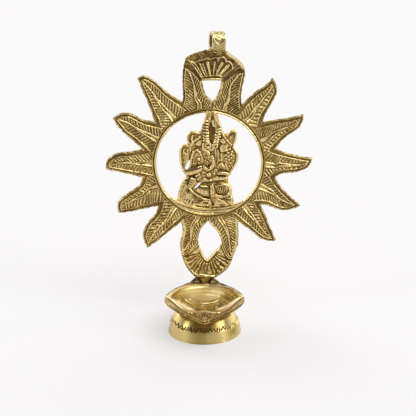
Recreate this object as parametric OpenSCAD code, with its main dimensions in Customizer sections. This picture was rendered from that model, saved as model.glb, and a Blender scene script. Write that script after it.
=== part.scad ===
// Aarti lamp: a turned bell stand, a leaf-shaped oil bowl and an upright sun frame.
// The frame is a ring with fourteen veined leaves, two pierced crests, a hanging
// loop and a seated elephant-headed figure inside the ring.
// The lamp rests on z = 0, x runs to the right and the bowl's tip points to -y.

/* [Stand] */
// Radius of the circle that the stand rests on
base_foot_r = 29.7; // [28.5:0.1:33]
// Radius at the top of the plain skirt
base_skirt_r = 27.9; // [26.5:0.1:28.4]
// Height of the plain skirt
base_skirt_h = 9.5; // [7:0.1:11]
// Height of the stand from the floor to the seat of the bowl
base_h = 18.5; // [17:0.1:24]
// Radius of the neck under the bowl
neck_r = 12; // [10.5:0.1:14]
// Wall of the hollow stand
base_wall = 2.2; // [1.6:0.1:2.8]
// Thickness of the top of the stand, clamped by the nut
base_top_t = 2.6; // [2:0.1:3.4]
// How many chisel cuts run round the edge of the skirt
chisel_cuts = 44; // [20:1:60]

/* [Bowl] */
// Height of the bowl's rim above the floor
rim_z = 28; // [27:0.1:34]
// Reach of the bowl's pointed tip in front of the centre
bowl_tip = 47.5; // [42:0.1:54]
// Half of the bowl's width
bowl_half_w = 32.6; // [32:0.1:38]
// Reach of the stem end of the bowl behind the centre
bowl_stem = 41.5; // [41:0.1:46]
// Thickness of the bowl's lip
lip_t = 3.2; // [2.6:0.1:4.5]
// Radius of the turned hollow
dish_r = 31; // [28:0.1:31.4]
// Radius of the round oil recess in the middle
recess_r = 12.2; // [8:0.1:16]
// Depth of the sloping hollow at the recess
dish_depth = 3.7; // [2.5:0.1:4.5]
// Further depth of the oil recess
recess_depth = 2.2; // [1:0.1:2.4]
// Radius of the threaded stud under the bowl
stud_r = 3; // [2.5:0.1:4]

/* [Frame] */
// Lean of the frame to the right, in degrees
frame_lean = 3; // [0:0.5:5]
// Depth of the frame's flat back behind the centre of the stand
frame_back_y = 36.2; // [35.8:0.1:37]
// Distance from the bowl's rim up to the centre of the ring
ring_rise = 103.7; // [102.5:0.1:112]
// Radius of the round opening of the ring
ring_hole_r = 42.4; // [41:0.1:43.4]
// Width of the ring's band
ring_w = 3.8; // [3:0.1:4.4]
// Depth of the ring from front to back
ring_t = 4.4; // [3.8:0.1:5.5]

/* [Leaves] */
// Width of the closed web between the ring and the leaves' valleys
web_w = 9; // [8:0.1:10]
// Reach from the ring's centre that the leaves' shares count to
leaf_reach = 84; // [76:0.5:90]
// Thickness of the leaves' ground
leaf_t = 2; // [1.5:0.1:2.6]
// Height of the veins over the ground
vein_h = 0.7; // [0.4:0.1:1]
// Further height of the border and the midrib
border_h = 0.5; // [0.3:0.1:0.8]
// Width of the raised border of a leaf
border_w = 1.9; // [1.4:0.1:2.4]
// Width of the midrib at the root
midrib_w = 1.6; // [1:0.1:2]
// Pairs of veins on each sun leaf
ray_veins = 9; // [5:1:12]
// Pairs of veins on each crest leaf
crest_veins = 10; // [6:1:12]

/* [Crests] */
// Width of the upper crest
crest_w = 49; // [46:0.5:54]
// Height of the upper crest over the valleys beside it
crest_h = 43.2; // [40:0.1:48]
// Half of the lower crest's width
foot_half_w = 27.8; // [26:0.1:30]
// Lobes in the upper fan
crest_lobes = 8; // [5:1:9]
// Lobes in the lower fan
foot_lobes = 10; // [6:1:12]

/* [Hanging loop] */
// Outer radius of the loop
loop_r = 8.2; // [7:0.1:9]
// Radius of the eye
eye_r = 5.2; // [4:0.1:5.6]
// Width of the loop's strap
loop_w = 10.6; // [8:0.1:12]
// Turn of the loop about the upright, in degrees
loop_yaw = 12; // [0:1:20]

/* [Figure] */
// Depth of the figure's seat from front to back
seat_t = 8; // [6:0.1:10]
// Radius of the seat's curved top
seat_top_r = 62.6; // [60:0.2:66]
// Depth of the seat under the figure at the middle
seat_w = 4.7; // [4:0.1:5.5]

/* [Hidden] */

// One overrun serves every cut
cut_over = 1;
// Clearance of the stud in the stand
stud_clear = 0.2;
// A clearance so small that round faces can be laid against each other
fit_clear = 0.02;
washer_r = 8;
washer_t = 1.2;
nut_r = 5.8;
nut_h = 4.5;
stud_below = 1.5;
neck_fillet = 2;
chisel_w = 1;
chisel_depth = 0.5;
chisel_h = 2.4;
chisel_slant = 25;
skirt_step = 1.1;
lug_w = 26;
lug_top_w = 14;
lug_h = 2.8;
mound_r = 5.5;
mound_top_r = 1.8;
mound_h = 2.6;
lip_groove_w = 0.9;
lip_groove_depth = 0.6;
lip_groove_gap = 1.2;
notch_w = 0.8;
notch_len = 1.6;
notch_depth = 0.7;
shell_cut_depth = 0.6;
ring_groove_r = 0.6;
ring_lip_drop = 0.9;
ring_edge_drop = 0.5;
lobe_gap = 0.5;
lobe_h = 0.9;
crest_edge_w = 2.2;
foot_edge_w = 1.65;
window_rim_w = 1.3;
tongue_w = 11;
rim_bead_w = 1.1;
loop_rim = 0.5;
loop_sink = 1.3;
loop_rim_w = 1.2;
loop_rim_slope_w = 0.6;
figure_ball_fn = 16;

ring_outer_r = ring_hole_r + ring_w;
valley_r = ring_outer_r + web_w;
leaf_len = leaf_reach - valley_r;
leaf_top = leaf_t + vein_h + border_h;
stud_len = base_top_t + washer_t + nut_h + stud_below;

// Angles of the valleys between the leaves, clockwise from the top
valley_angles = [25.4, 48.6, 74.2, 99.5, 126.8, 150.9, 201.4, 225.7, 254.4, 279.3, 305.5, 334.4];
// Angles at which the two leaves of a crest part under and over its window
crest_part_angle = 0.5;
foot_part_angle = 177.3;

// The ten sun leaves, clockwise: both sides from valley to tip, then the tip.
// Each point is an angle and a share of the leaf's length beyond the valley.
ray_shares = [
    [[[28.8, 0.46], [32, 0.83]], [[44.7, 0.22], [41, 0.7], [38.6, 0.93]], [32.6, 1.11]],
    [[[53, 0.34], [56.5, 0.66]], [[67.8, 0.33], [64.9, 0.78], [61.4, 1]], [58.8, 1.07]],
    [[[79, 0.27], [82.5, 0.67]], [[95.4, 0.17], [92.4, 0.62], [89, 0.9]], [84, 1.01]],
    [[[105.8, 0.24], [110, 0.59]], [[123.6, 0.17], [121, 0.55], [116.8, 0.81]], [112.6, 0.98]],
    [[[130.6, 0.32], [134, 0.63]], [[146.6, 0.34], [143.4, 0.76], [139.8, 1]], [136.8, 1.07]],
    [[[205.2, 0.3], [209.2, 0.79]], [[222.2, 0.23], [221.4, 0.6], [218.2, 0.95]], [212, 1.17]],
    [[[230.6, 0.32], [233.8, 0.66]], [[248.8, 0.16], [245.6, 0.56], [243, 0.9]], [237, 1.04]],
    [[[257.3, 0.21], [261.3, 0.61]], [[275.5, 0.34], [273.2, 0.69], [269, 0.94]], [263.6, 0.99]],
    [[[284.5, 0.3], [287.8, 0.63]], [[301.6, 0.32], [300.6, 0.66], [297.4, 0.93]], [292.6, 1.05]],
    [[[312.7, 0.49], [316, 0.88]], [[327.7, 0.42], [324.8, 0.86], [321.8, 1.15]], [318, 1.22]]];

// Shares of the crest's half width and of its height above the valley line
crest_out_left_shares = [[-0.94, 0.08], [-0.96, 0.2], [-1, 0.44], [-0.99, 0.6], [-0.985, 0.68]];
crest_top_left_shares = [[-0.985, 0.68], [-0.95, 0.77], [-0.88, 0.85], [-0.7, 0.907], [-0.41, 0.97], [-0.23, 1]];
crest_top_right_shares = [[0.35, 1], [0.57, 0.914], [0.78, 0.83], [0.92, 0.75], [1, 0.653]];
crest_out_right_shares = [[0.94, 0.09], [0.935, 0.2], [0.965, 0.39], [1.01, 0.56], [1, 0.653]];
crest_window_left_shares = [[0.02, 0.04], [-0.19, 0.14], [-0.315, 0.29], [-0.37, 0.415]];
crest_window_right_shares = [[0.02, 0.04], [0.14, 0.13], [0.225, 0.28], [0.265, 0.44]];
crest_window_top_shares = [[-0.37, 0.415], [-0.15, 0.433], [0.05, 0.44], [0.265, 0.44]];
crest_seam_left_shares = [[-0.37, 0.415], [-0.47, 0.51], [-0.64, 0.615], [-0.83, 0.683], [-0.985, 0.68]];
crest_seam_right_shares = [[0.265, 0.44], [0.4, 0.51], [0.58, 0.6], [0.81, 0.655], [1, 0.653]];
crest_fan_share = [-0.05, 0.24];

// Shares of the foot's half width and of the rise from the rim to the ring
foot_out_left_shares = [[-0.66, -0.55], [-0.67, -0.6], [-0.72, -0.68], [-0.67, -0.757]];
foot_low_left_shares = [[-0.67, -0.757], [-0.6, -0.82], [-0.5, -0.873], [-0.38, -0.916], [-0.245, -0.952]];
foot_low_right_shares = [[0.395, -0.952], [0.53, -0.926], [0.66, -0.895], [0.77, -0.855], [0.84, -0.81], [0.87, -0.77]];
foot_out_right_shares = [[0.98, -0.53], [1, -0.6], [0.98, -0.68], [0.87, -0.77]];
foot_window_left_shares = [[0.08, -0.476], [-0.045, -0.513], [-0.155, -0.566], [-0.2, -0.625], [-0.187, -0.667]];
foot_window_right_shares = [[0.08, -0.476], [0.215, -0.513], [0.35, -0.556], [0.46, -0.604], [0.525, -0.652]];
foot_window_low_left_shares = [[-0.187, -0.667], [-0.108, -0.716], [0.01, -0.775], [0.11, -0.806]];
foot_window_low_right_shares = [[0.525, -0.652], [0.43, -0.7], [0.32, -0.734], [0.2, -0.778], [0.11, -0.806]];
foot_seam_left_shares = [[-0.187, -0.667], [-0.29, -0.7], [-0.43, -0.738], [-0.56, -0.76], [-0.67, -0.757]];
foot_seam_right_shares = [[0.525, -0.652], [0.6, -0.7], [0.68, -0.745], [0.77, -0.771], [0.87, -0.77]];
foot_fan_share = [0.09, -0.733];

// Half of the bowl's outline from tip to stem, as shares of half width and reach
bowl_front_shares = [[0, -1], [0.19, -0.88], [0.42, -0.7], [0.66, -0.51], [0.88, -0.28], [0.99, -0.07], [1, 0]];
bowl_back_shares = [[1, 0], [0.97, 0.18], [0.89, 0.36], [0.76, 0.54], [0.55, 0.74], [0.36, 0.9], [0.25, 1]];
// The front edge of the hollow, as shares of the dish's radius
hollow_shares = [[1.02, 0.12], [0.9, -0.1], [0.72, -0.46], [0.55, -0.76], [0.36, -0.95], [0.12, -0.88], [0, -0.84]];

// The figure as rounded lumps, each the hull of its balls. A ball is a place to the
// right of and above the ring's centre, a depth before the back and a radius, all
// as shares of the ring's opening.
figure_shares = [
    // Pointed crown, brow and muzzle
    [[-0.01, 0.97, 0.07, 0.055], [-0.09, 0.57, 0.09, 0.12], [0.13, 0.57, 0.09, 0.12]],
    [[-0.09, 0.5, 0.1, 0.12], [0.13, 0.5, 0.1, 0.12], [-0.06, 0.18, 0.12, 0.11], [0.1, 0.18, 0.12, 0.11]],
    // Trunk, its curl and the sweet that it holds
    [[0.05, 0.2, 0.22, 0.08], [0.04, 0, 0.21, 0.06]],
    [[0.04, 0, 0.21, 0.06], [-0.05, -0.1, 0.2, 0.05], [-0.1, -0.17, 0.19, 0.045]],
    [[-0.02, -0.24, 0.2, 0.055]],
    // Ears
    [[-0.24, 0.2, 0.1, 0.08], [-0.28, 0.05, 0.1, 0.09], [-0.18, 0, 0.1, 0.09]],
    [[0.22, 0.26, 0.09, 0.08], [0.26, 0.08, 0.1, 0.08], [0.14, 0.02, 0.1, 0.07]],
    // Upper hands and what they hold
    [[-0.365, 0.53, 0.07, 0.085], [-0.34, 0.42, 0.07, 0.09], [-0.2, 0.46, 0.08, 0.09]],
    [[0.44, 0.63, 0.05, 0.035], [0.41, 0.52, 0.07, 0.07], [0.35, 0.42, 0.07, 0.075], [0.2, 0.46, 0.08, 0.1]],
    [[-0.34, 0.42, 0.07, 0.08], [-0.46, 0.3, 0.07, 0.065], [-0.2, 0.3, 0.07, 0.1]],
    [[0.35, 0.42, 0.07, 0.07], [0.4, 0.28, 0.07, 0.07], [0.2, 0.3, 0.07, 0.1]],
    // Upper arms
    [[-0.5, 0.28, 0.07, 0.065], [-0.5, 0.14, 0.08, 0.08], [-0.475, -0.07, 0.08, 0.07], [-0.42, -0.17, 0.08, 0.07]],
    [[0.42, 0.27, 0.07, 0.075], [0.465, 0.15, 0.08, 0.085], [0.41, 0, 0.08, 0.09], [0.35, -0.12, 0.08, 0.07]],
    // Shoulders, garland and waist
    [[-0.3, 0.28, 0.03, 0.06], [0.3, 0.28, 0.03, 0.06], [0.27, -0.15, 0.03, 0.06], [-0.27, -0.15, 0.03, 0.06]],
    [[-0.42, 0.24, 0.04, 0.06], [-0.4, 0.12, 0.04, 0.06], [-0.3, 0.2, 0.04, 0.06]],
    [[-0.4, -0.17, 0.1, 0.085], [-0.1, -0.2, 0.13, 0.09], [0.29, -0.17, 0.1, 0.085]],
    [[-0.2, -0.08, 0.07, 0.1], [0.24, -0.06, 0.07, 0.1], [0.24, -0.28, 0.08, 0.1], [-0.28, -0.28, 0.08, 0.1]],
    // Lower arms, belly and the raised hand
    [[-0.4, -0.36, 0.09, 0.08], [-0.47, -0.52, 0.09, 0.09], [-0.475, -0.72, 0.09, 0.09]],
    [[-0.44, -0.52, 0.08, 0.08], [-0.32, -0.6, 0.08, 0.12], [-0.44, -0.75, 0.08, 0.09]],
    [[-0.16, -0.54, 0.09, 0.15], [0.08, -0.5, 0.09, 0.15], [-0.1, -0.72, 0.09, 0.13], [0.14, -0.72, 0.09, 0.12]],
    [[0.32, -0.38, 0.08, 0.1], [0.36, -0.48, 0.1, 0.09], [0.36, -0.66, 0.08, 0.1], [0.16, -0.42, 0.08, 0.1]],
    [[0.08, -0.5, 0.19, 0.09], [0.34, -0.5, 0.17, 0.09]],
    // Folded legs
    [[-0.46, -0.76, 0.12, 0.085], [-0.12, -0.8, 0.15, 0.09]],
    [[0.41, -0.76, 0.12, 0.085], [0.06, -0.79, 0.16, 0.085]]];
// Pierced places between limbs, each a pair of balls drilled from front to back
pierced_shares = [
    [[-0.38, 0, 0.03], [-0.42, -0.08, 0.032]],
    [[0.33, -0.02, 0.018], [0.36, -0.09, 0.018]],
    [[-0.25, -0.48, 0.016], [-0.13, -0.385, 0.016]]];

brass = [0.78, 0.66, 0.36];
aged_brass = [0.62, 0.52, 0.28];
solder_grey = [0.5, 0.49, 0.4];

function mix(p, q, t) = p + (q - p) * t;
function flip(path) = [for (i = [len(path) - 1:-1:0]) path[i]];
function tail(path) = [for (i = [1:len(path) - 1]) path[i]];
function mirror_x(path) = [for (p = path) [-p[0], p[1]]];
// A point at a radius and an angle clockwise from the top
function polar(r, angle) = [r * sin(angle), r * cos(angle)];

// Place at t on the smooth curve from p1 to p2, led by the points before and after
function curve_point(p0, p1, p2, p3, t) =
    0.5 * (2 * p1 + (p2 - p0) * t + (2 * p0 - 5 * p1 + 4 * p2 - p3) * t * t
    + (3 * p1 - p0 - 3 * p2 + p3) * t * t * t);
// A smooth path through all the points, with the same steps between each two
function smooth(pts, steps = 4) = let (last = len(pts) - 1) concat(
    [for (i = [0:last - 1]) for (k = [0:steps - 1])
        curve_point(pts[max(i - 1, 0)], pts[i], pts[i + 1], pts[min(i + 2, last)], k / steps)],
    [pts[last]]);

// Lengths along a path, summed from its start
function run_lengths(path, i = 0, sum = 0) =
    i == len(path) - 1 ? [sum]
    : concat([sum], run_lengths(path, i + 1, sum + norm(path[i + 1] - path[i])));
function segment_at(runs, d, i = 0) =
    i >= len(runs) - 2 || runs[i + 1] >= d ? i : segment_at(runs, d, i + 1);
// The point at a share u of a path's own length
function along(path, u) = let (
    runs = run_lengths(path),
    d = min(max(u, 0), 1) * runs[len(runs) - 1],
    i = segment_at(runs, d))
    mix(path[i], path[i + 1], (d - runs[i]) / (runs[i + 1] - runs[i]));
// The point at a share u along a leaf and t across it, from side sa to side sb
function across(sa, sb, u, t) = mix(along(sa, u), along(sb, u), t);
function width_at(sa, sb, u) = norm(along(sb, u) - along(sa, u));

// Shares of the width that the border and half the midrib take at u, and the
// most that they may take near the tip
function border_share(sa, sb, u) = min(border_w / width_at(sa, sb, u), border_most_share);
function midrib_share(sa, sb, u) =
    min(midrib_w * (1 - midrib_taper_share * u) / 2 / width_at(sa, sb, u), midrib_most_share);
border_most_share = 0.34;
midrib_most_share = 0.1;
midrib_taper_share = 0.6;
// Where the veined field of a leaf begins and ends along its length, the sweep of
// the veins towards the tip and half of a vein, all as shares of the leaf's length
field_start_share = 0.05;
field_end_share = 0.86;
vein_sweep_share = 0.07;
vein_half_share = 0.011;

function field_side(sa, sb, steps = 12) = [for (k = [0:steps])
    let (u = mix(field_start_share, field_end_share + vein_sweep_share, k / steps))
    across(sa, sb, u, border_share(sa, sb, u))];

// One chiselled cut between two veins on the sa side of the midrib
function vein_cut(sa, sb, u0, u1) = let (
    s0 = u0 + vein_sweep_share,
    s1 = u1 + vein_sweep_share)
    [across(sa, sb, u0, 0.5 - midrib_share(sa, sb, u0)),
     across(sa, sb, u1, 0.5 - midrib_share(sa, sb, u1)),
     across(sa, sb, s1, border_share(sa, sb, s1)),
     across(sa, sb, s0, border_share(sa, sb, s0))];

// A leaf between its two sides, which run from the root to a shared tip: flat
// ground, veins left standing between chiselled cuts, then border and midrib
module veined_leaf(sa, sb, veins) {
    outline = concat(sa, flip(sb));
    step = (field_end_share - field_start_share) / veins;
    linear_extrude(leaf_t) polygon(outline);
    translate([0, 0, leaf_t])
        linear_extrude(vein_h) difference() {
            polygon(outline);
            for (k = [0:veins - 1]) {
                u0 = field_start_share + k * step + vein_half_share;
                u1 = field_start_share + (k + 1) * step - vein_half_share;
                polygon(vein_cut(sa, sb, u0, u1));
                polygon(vein_cut(sb, sa, u0, u1));
            }
        }
    translate([0, 0, leaf_t + vein_h])
        linear_extrude(border_h) {
            difference() {
                polygon(outline);
                polygon(concat(field_side(sa, sb), flip(field_side(sb, sa))));
            }
            midrib(sa, sb);
        }
}

module midrib(sa, sb, steps = 6) {
    us = [for (k = [0:steps]) mix(field_start_share, field_end_share, k / steps)];
    polygon(concat(
        [for (u = us) across(sa, sb, u, 0.5 - midrib_share(sa, sb, u))],
        flip([for (u = us) across(sa, sb, u, 0.5 + midrib_share(sa, sb, u))])));
}

// Moves a shape drawn about the ring's centre, with its back on z = 0, to its
// place on the lamp
module on_frame() {
    translate([0, frame_back_y, rim_z])
        rotate([0, frame_lean, 0])
            translate([frame_shift, 0, ring_rise])
                rotate([90, 0, 0])
                    children();
}
// The tongue of the foot stands this far beside the line under the ring's centre
tongue_share = 0.075;
frame_shift = -tongue_share * foot_half_w;

// Keeps a frame shape clear of the ring's band
module outside_ring() {
    difference() {
        children();
        translate([0, 0, -cut_over])
            cylinder(r = ring_outer_r, h = leaf_top + 2 * cut_over, $fn = 180);
    }
}

// Root point just inside the ring's band, then the valley, at one angle
function root_points(angle) = [polar(ring_outer_r - cut_over, angle), polar(valley_r, angle)];
function ray_point(p) = polar(valley_r + p[1] * leaf_len, p[0]);
function ray_side(angle, mids, tip) =
    concat([root_points(angle)[0]],
        smooth(concat([root_points(angle)[1]], [for (p = mids) ray_point(p)], [ray_point(tip)])));

module ray_leaf(k) {
    first = k < 5 ? k : k + 1;
    sa = ray_side(valley_angles[first], ray_shares[k][0], ray_shares[k][2]);
    sb = ray_side(valley_angles[first + 1], ray_shares[k][1], ray_shares[k][2]);
    color(aged_brass) on_frame() outside_ring() veined_leaf(sa, sb, ray_veins);
}

valley_line = valley_r * cos(valley_angles[0]);
function crest_point(p) = [p[0] * crest_w / 2, valley_line + p[1] * crest_h];
function crest_path(shares) = smooth([for (p = shares) crest_point(p)]);
function foot_point(p) = [p[0] * foot_half_w, p[1] * ring_rise];
function foot_path(shares) = smooth([for (p = shares) foot_point(p)]);

module crest_leaf(angle, out_shares, window_shares, seam_shares) {
    sa = concat([root_points(angle)[0]],
        smooth(concat([root_points(angle)[1]], [for (p = out_shares) crest_point(p)])));
    sb = concat([polar(ring_outer_r - cut_over, crest_part_angle)],
        crest_path(window_shares), tail(crest_path(seam_shares)));
    color(aged_brass) on_frame() outside_ring() veined_leaf(sa, sb, crest_veins);
}

module foot_leaf(angle, out_shares, window_shares, seam_shares) {
    sa = concat([root_points(angle)[0]],
        smooth(concat([root_points(angle)[1]], [for (p = out_shares) foot_point(p)])));
    sb = concat([polar(ring_outer_r - cut_over, foot_part_angle)],
        foot_path(window_shares), tail(foot_path(seam_shares)));
    color(aged_brass) on_frame() outside_ring() veined_leaf(sa, sb, crest_veins);
}

// One lobe of a fan: narrow at its root and round at its end
module fan_lobe(r0, r1, angle, spread) {
    half = spread / 2;
    end_r = r1 * sin(half) - lobe_gap;
    root_half = r0 * sin(half) - lobe_gap / 2;
    rotate(-angle) polygon(concat(
        [[-root_half, r0]],
        [for (t = [180:-20:0]) [end_r * cos(t), r1 - end_r + end_r * sin(t)]],
        [[root_half, r0]]));
}

// A fan shape: flat ground inside the outline, raised edge bands, and lobes that
// spread from a centre. Children 0 are the bands and children 1 the lobes.
module fan_plate(outline) {
    linear_extrude(leaf_t) polygon(outline);
    translate([0, 0, leaf_t]) {
        linear_extrude(leaf_top - leaf_t) intersection() {
            polygon(outline);
            children(0);
        }
        linear_extrude(lobe_h) intersection() {
            polygon(outline);
            children(1);
        }
    }
}

// A band of width w along an edge, laid on the side of the centre when w is over 0
module edge_band(edge, centre, w) {
    polygon(concat(edge, flip([for (p = edge) mix(p, centre, w / norm(p - centre))])));
}

module crest_fan() {
    edge = concat(crest_path(crest_top_left_shares), crest_path(crest_top_right_shares));
    seam_left = crest_path(crest_seam_left_shares);
    seam_right = crest_path(crest_seam_right_shares);
    window_top = crest_path(crest_window_top_shares);
    centre = crest_point(crest_fan_share);
    color(aged_brass) on_frame()
        fan_plate(concat(edge, tail(flip(seam_right)), tail(flip(window_top)), tail(seam_left))) {
            union() {
                edge_band(edge, centre, crest_edge_w);
                edge_band(window_top, centre, -window_rim_w);
            }
            translate(centre) for (k = [0:crest_lobes - 1])
                fan_lobe(crest_lobe_root_share * crest_h, crest_lobe_end_share * crest_h,
                    (k - (crest_lobes - 1) / 2) * crest_fan_step, crest_fan_step);
        }
}
crest_lobe_root_share = 0.27;
crest_lobe_end_share = 0.6;
crest_fan_step = 12;

foot_low_left = foot_path(foot_low_left_shares);
foot_low_right = foot_path(foot_low_right_shares);
foot_window_low = concat(foot_path(foot_window_low_left_shares),
    tail(flip(foot_path(foot_window_low_right_shares))));
tongue_x = tongue_share * foot_half_w;
// The foot's outline, with a tongue that runs on below the rim before it is cut
foot_outline = concat(foot_low_left,
    [for (side = [-1, 1]) [tongue_x + side * tongue_w / 2, -ring_rise - cut_over]],
    foot_low_right, tail(flip(foot_path(foot_seam_right_shares))), tail(flip(foot_window_low)),
    tail(foot_path(foot_seam_left_shares)));

module foot_fan() {
    centre = foot_point(foot_fan_share);
    color(aged_brass) difference() {
        on_frame()
            fan_plate(foot_outline) {
                union() {
                    edge_band(foot_low_left, centre, foot_edge_w);
                    edge_band(foot_low_right, centre, foot_edge_w);
                    edge_band(foot_window_low, centre, -window_rim_w);
                    translate([tongue_x, foot_low_right[0][1]])
                        square([tongue_w, 2 * rim_bead_w], center = true);
                }
                translate(centre) for (k = [0:foot_lobes - 1])
                    fan_lobe(foot_lobe_root_share * ring_rise, foot_lobe_end_share * ring_rise,
                        180 + (k - (foot_lobes - 1) / 2) * foot_fan_step, foot_fan_step);
            }
        below_rim();
    }
}
foot_lobe_root_share = 0.1;
foot_lobe_end_share = 0.19;
foot_fan_step = 16;

// All that lies under the plane of the bowl's rim, where the tongue ends flat
module below_rim() {
    translate([-foot_half_w, 0, rim_z - foot_half_w])
        cube([2 * foot_half_w, 2 * frame_back_y, foot_half_w]);
}

// The ring: a bright rounded lip round the hole, a groove and an outer band
module sun_ring() {
    color(brass) on_frame() rotate_extrude($fn = 180) {
        difference() {
            polygon([
                [ring_hole_r, 0],
                [ring_outer_r, 0],
                [ring_outer_r, ring_t - ring_edge_drop],
                [ring_outer_r - ring_edge_drop, ring_t],
                [ring_hole_r + ring_lip_drop, ring_t],
                [ring_hole_r, ring_t - ring_lip_drop]]);
            translate([ring_hole_r + ring_groove_share * ring_w, ring_t])
                circle(r = ring_groove_r, $fn = 24);
        }
    }
}

ring_groove_share = 0.66;

// The loop stands on the flat top of the crest, with its eye running left to right
module hanging_loop() {
    eye_up = valley_line + crest_h + loop_r - loop_sink;
    middle = (crest_top_left_shares[5][0] + crest_top_right_shares[0][0]) / 2 * crest_w / 2;
    color(brass) on_frame() difference() {
        translate([middle, eye_up, leaf_top / 2])
            rotate([0, 90 + loop_yaw, 0])
                rotate_extrude($fn = 96) polygon([
                    [eye_r, -loop_w / 2],
                    [loop_r, -loop_w / 2],
                    [loop_r, loop_rim_w - loop_w / 2],
                    [loop_r - loop_rim, loop_rim_w + loop_rim_slope_w - loop_w / 2],
                    [loop_r - loop_rim, loop_w / 2 - loop_rim_w - loop_rim_slope_w],
                    [loop_r, loop_w / 2 - loop_rim_w],
                    [loop_r, loop_w / 2],
                    [eye_r, loop_w / 2]]);
        translate([middle - loop_w, eye_up - loop_r - loop_sink, -loop_r])
            cube([2 * loop_w, 2 * loop_sink, 3 * loop_r]);
    }
}

// The crescent that the figure sits on follows the ring's hole
module figure_seat() {
    color(brass) on_frame() difference() {
        cylinder(r = ring_hole_r, h = seat_t, $fn = 180);
        translate([0, seat_centre_up, -cut_over])
            cylinder(r = seat_top_r, h = seat_t + 2 * cut_over, $fn = 180);
    }
}
seat_centre_up = seat_top_r - ring_hole_r + seat_w;

module seated_figure() {
    color(brass) on_frame() difference() {
        intersection() {
            union() for (limb = figure_shares) hull() for (ball = limb)
                translate([ball[0], ball[1], ball[2]] * ring_hole_r)
                    sphere(r = ball[3] * ring_hole_r, $fn = figure_ball_fn);
            intersection() {
                cylinder(r = ring_hole_r - fit_clear, h = ring_hole_r, $fn = 180);
                translate([0, seat_centre_up, 0])
                    cylinder(r = seat_top_r - fit_clear, h = ring_hole_r, $fn = 180);
            }
        }
        for (gap = pierced_shares) hull() for (ball = gap)
            translate([ball[0] * ring_hole_r, ball[1] * ring_hole_r, -cut_over])
                cylinder(r = ball[2] * ring_hole_r, h = ring_hole_r, $fn = 16);
    }
}

// The outer line of the bell-shaped stand above the skirt
function bell(r0, z0, r1, z1, steps = 8) = [for (k = [0:steps])
    let (t = 90 * k / steps) [mix(r1, r0, cos(t)), mix(z0, z1, sin(t))]];

module stand_base() {
    shoulder_r = base_skirt_r - skirt_step;
    shoulder_z = base_skirt_h + skirt_step;
    top_in = base_h - base_top_t;
    color(brass) difference() {
        rotate_extrude($fn = 120) polygon(concat(
            [[base_foot_r - base_wall, 0], [base_foot_r, 0], [base_skirt_r, base_skirt_h]],
            bell(shoulder_r, shoulder_z, neck_r, base_h - neck_fillet / 2),
            [[neck_r, base_h], [stud_r + stud_clear, base_h], [stud_r + stud_clear, top_in]],
            flip(bell(shoulder_r - base_wall, shoulder_z - base_wall, neck_r - base_wall / 2, top_in)),
            [[base_skirt_r - base_wall, base_skirt_h - base_wall]]));
        // Short slanting chisel cuts along the edge between skirt and shoulder
        for (k = [0:chisel_cuts - 1])
            rotate(360 * (k + 0.5) / chisel_cuts)
                translate([base_skirt_r, 0, base_skirt_h])
                    rotate([k % 2 == 0 ? chisel_slant : -chisel_slant, 0, 0])
                        cube([2 * chisel_depth, chisel_w, chisel_h], center = true);
    }
}

module base_washer() {
    top = base_h - base_top_t;
    color(brass) translate([0, 0, top - washer_t]) difference() {
        cylinder(r = washer_r, h = washer_t, $fn = 64);
        translate([0, 0, -cut_over])
            cylinder(r = stud_r + stud_clear, h = washer_t + 2 * cut_over, $fn = 48);
    }
}

module base_nut() {
    top = base_h - base_top_t - washer_t;
    color(brass) translate([0, 0, top - nut_h]) difference() {
        cylinder(r = nut_r, h = nut_h, $fn = 6);
        translate([0, 0, -cut_over])
            cylinder(r = stud_r, h = nut_h + 2 * cut_over, $fn = 48);
    }
}

function bowl_point(p) = [p[0] * bowl_half_w, p[1] * (p[1] < 0 ? bowl_tip : bowl_stem)];
bowl_half = concat(smooth([for (p = bowl_front_shares) bowl_point(p)], 3),
    tail(smooth([for (p = bowl_back_shares) bowl_point(p)], 3)));
bowl_outline = concat(bowl_half, flip(mirror_x(tail(bowl_half))));
hollow_half = smooth([for (p = hollow_shares) p * dish_r], 3);

// The lip: a leaf with its tip in front and its stem end under the frame
module bowl_lip() {
    translate([0, 0, rim_z - lip_t]) linear_extrude(lip_t) polygon(bowl_outline);
}

// The turned hollow, cut off by the lip along its front edge
module bowl_hollow() {
    intersection() {
        rotate_extrude($fn = 120) polygon(concat(
            [[0, rim_z + cut_over], [dish_r, rim_z + cut_over], [dish_r, rim_z],
             [recess_r, rim_z - dish_depth]],
            [for (t = [15:15:90]) [recess_r * cos(t), rim_z - dish_depth - recess_depth * sin(t)]]));
        linear_extrude(rim_z + 2 * cut_over) polygon(concat(
            hollow_half, flip(mirror_x(hollow_half)),
            [for (t = [170:-10:10]) dish_r * hollow_back_share * [cos(t), sin(t)]]));
    }
}
hollow_back_share = 1.05;

// The sloping lug behind the frame's tongue, on the stem end of the leaf
module bowl_lug() {
    intersection() {
        linear_extrude(rim_z + lug_h) polygon(bowl_outline);
        translate([0, bowl_stem + frame_back_y, rim_z])
            rotate([90, 0, 0])
                linear_extrude(bowl_stem) polygon([
                    [-lug_w / 2, -lip_t],
                    [lug_w / 2, -lip_t],
                    [lug_w / 2, 0],
                    [lug_top_w / 2, lug_h],
                    [-lug_top_w / 2, lug_h],
                    [-lug_w / 2, 0]]);
    }
}

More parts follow.
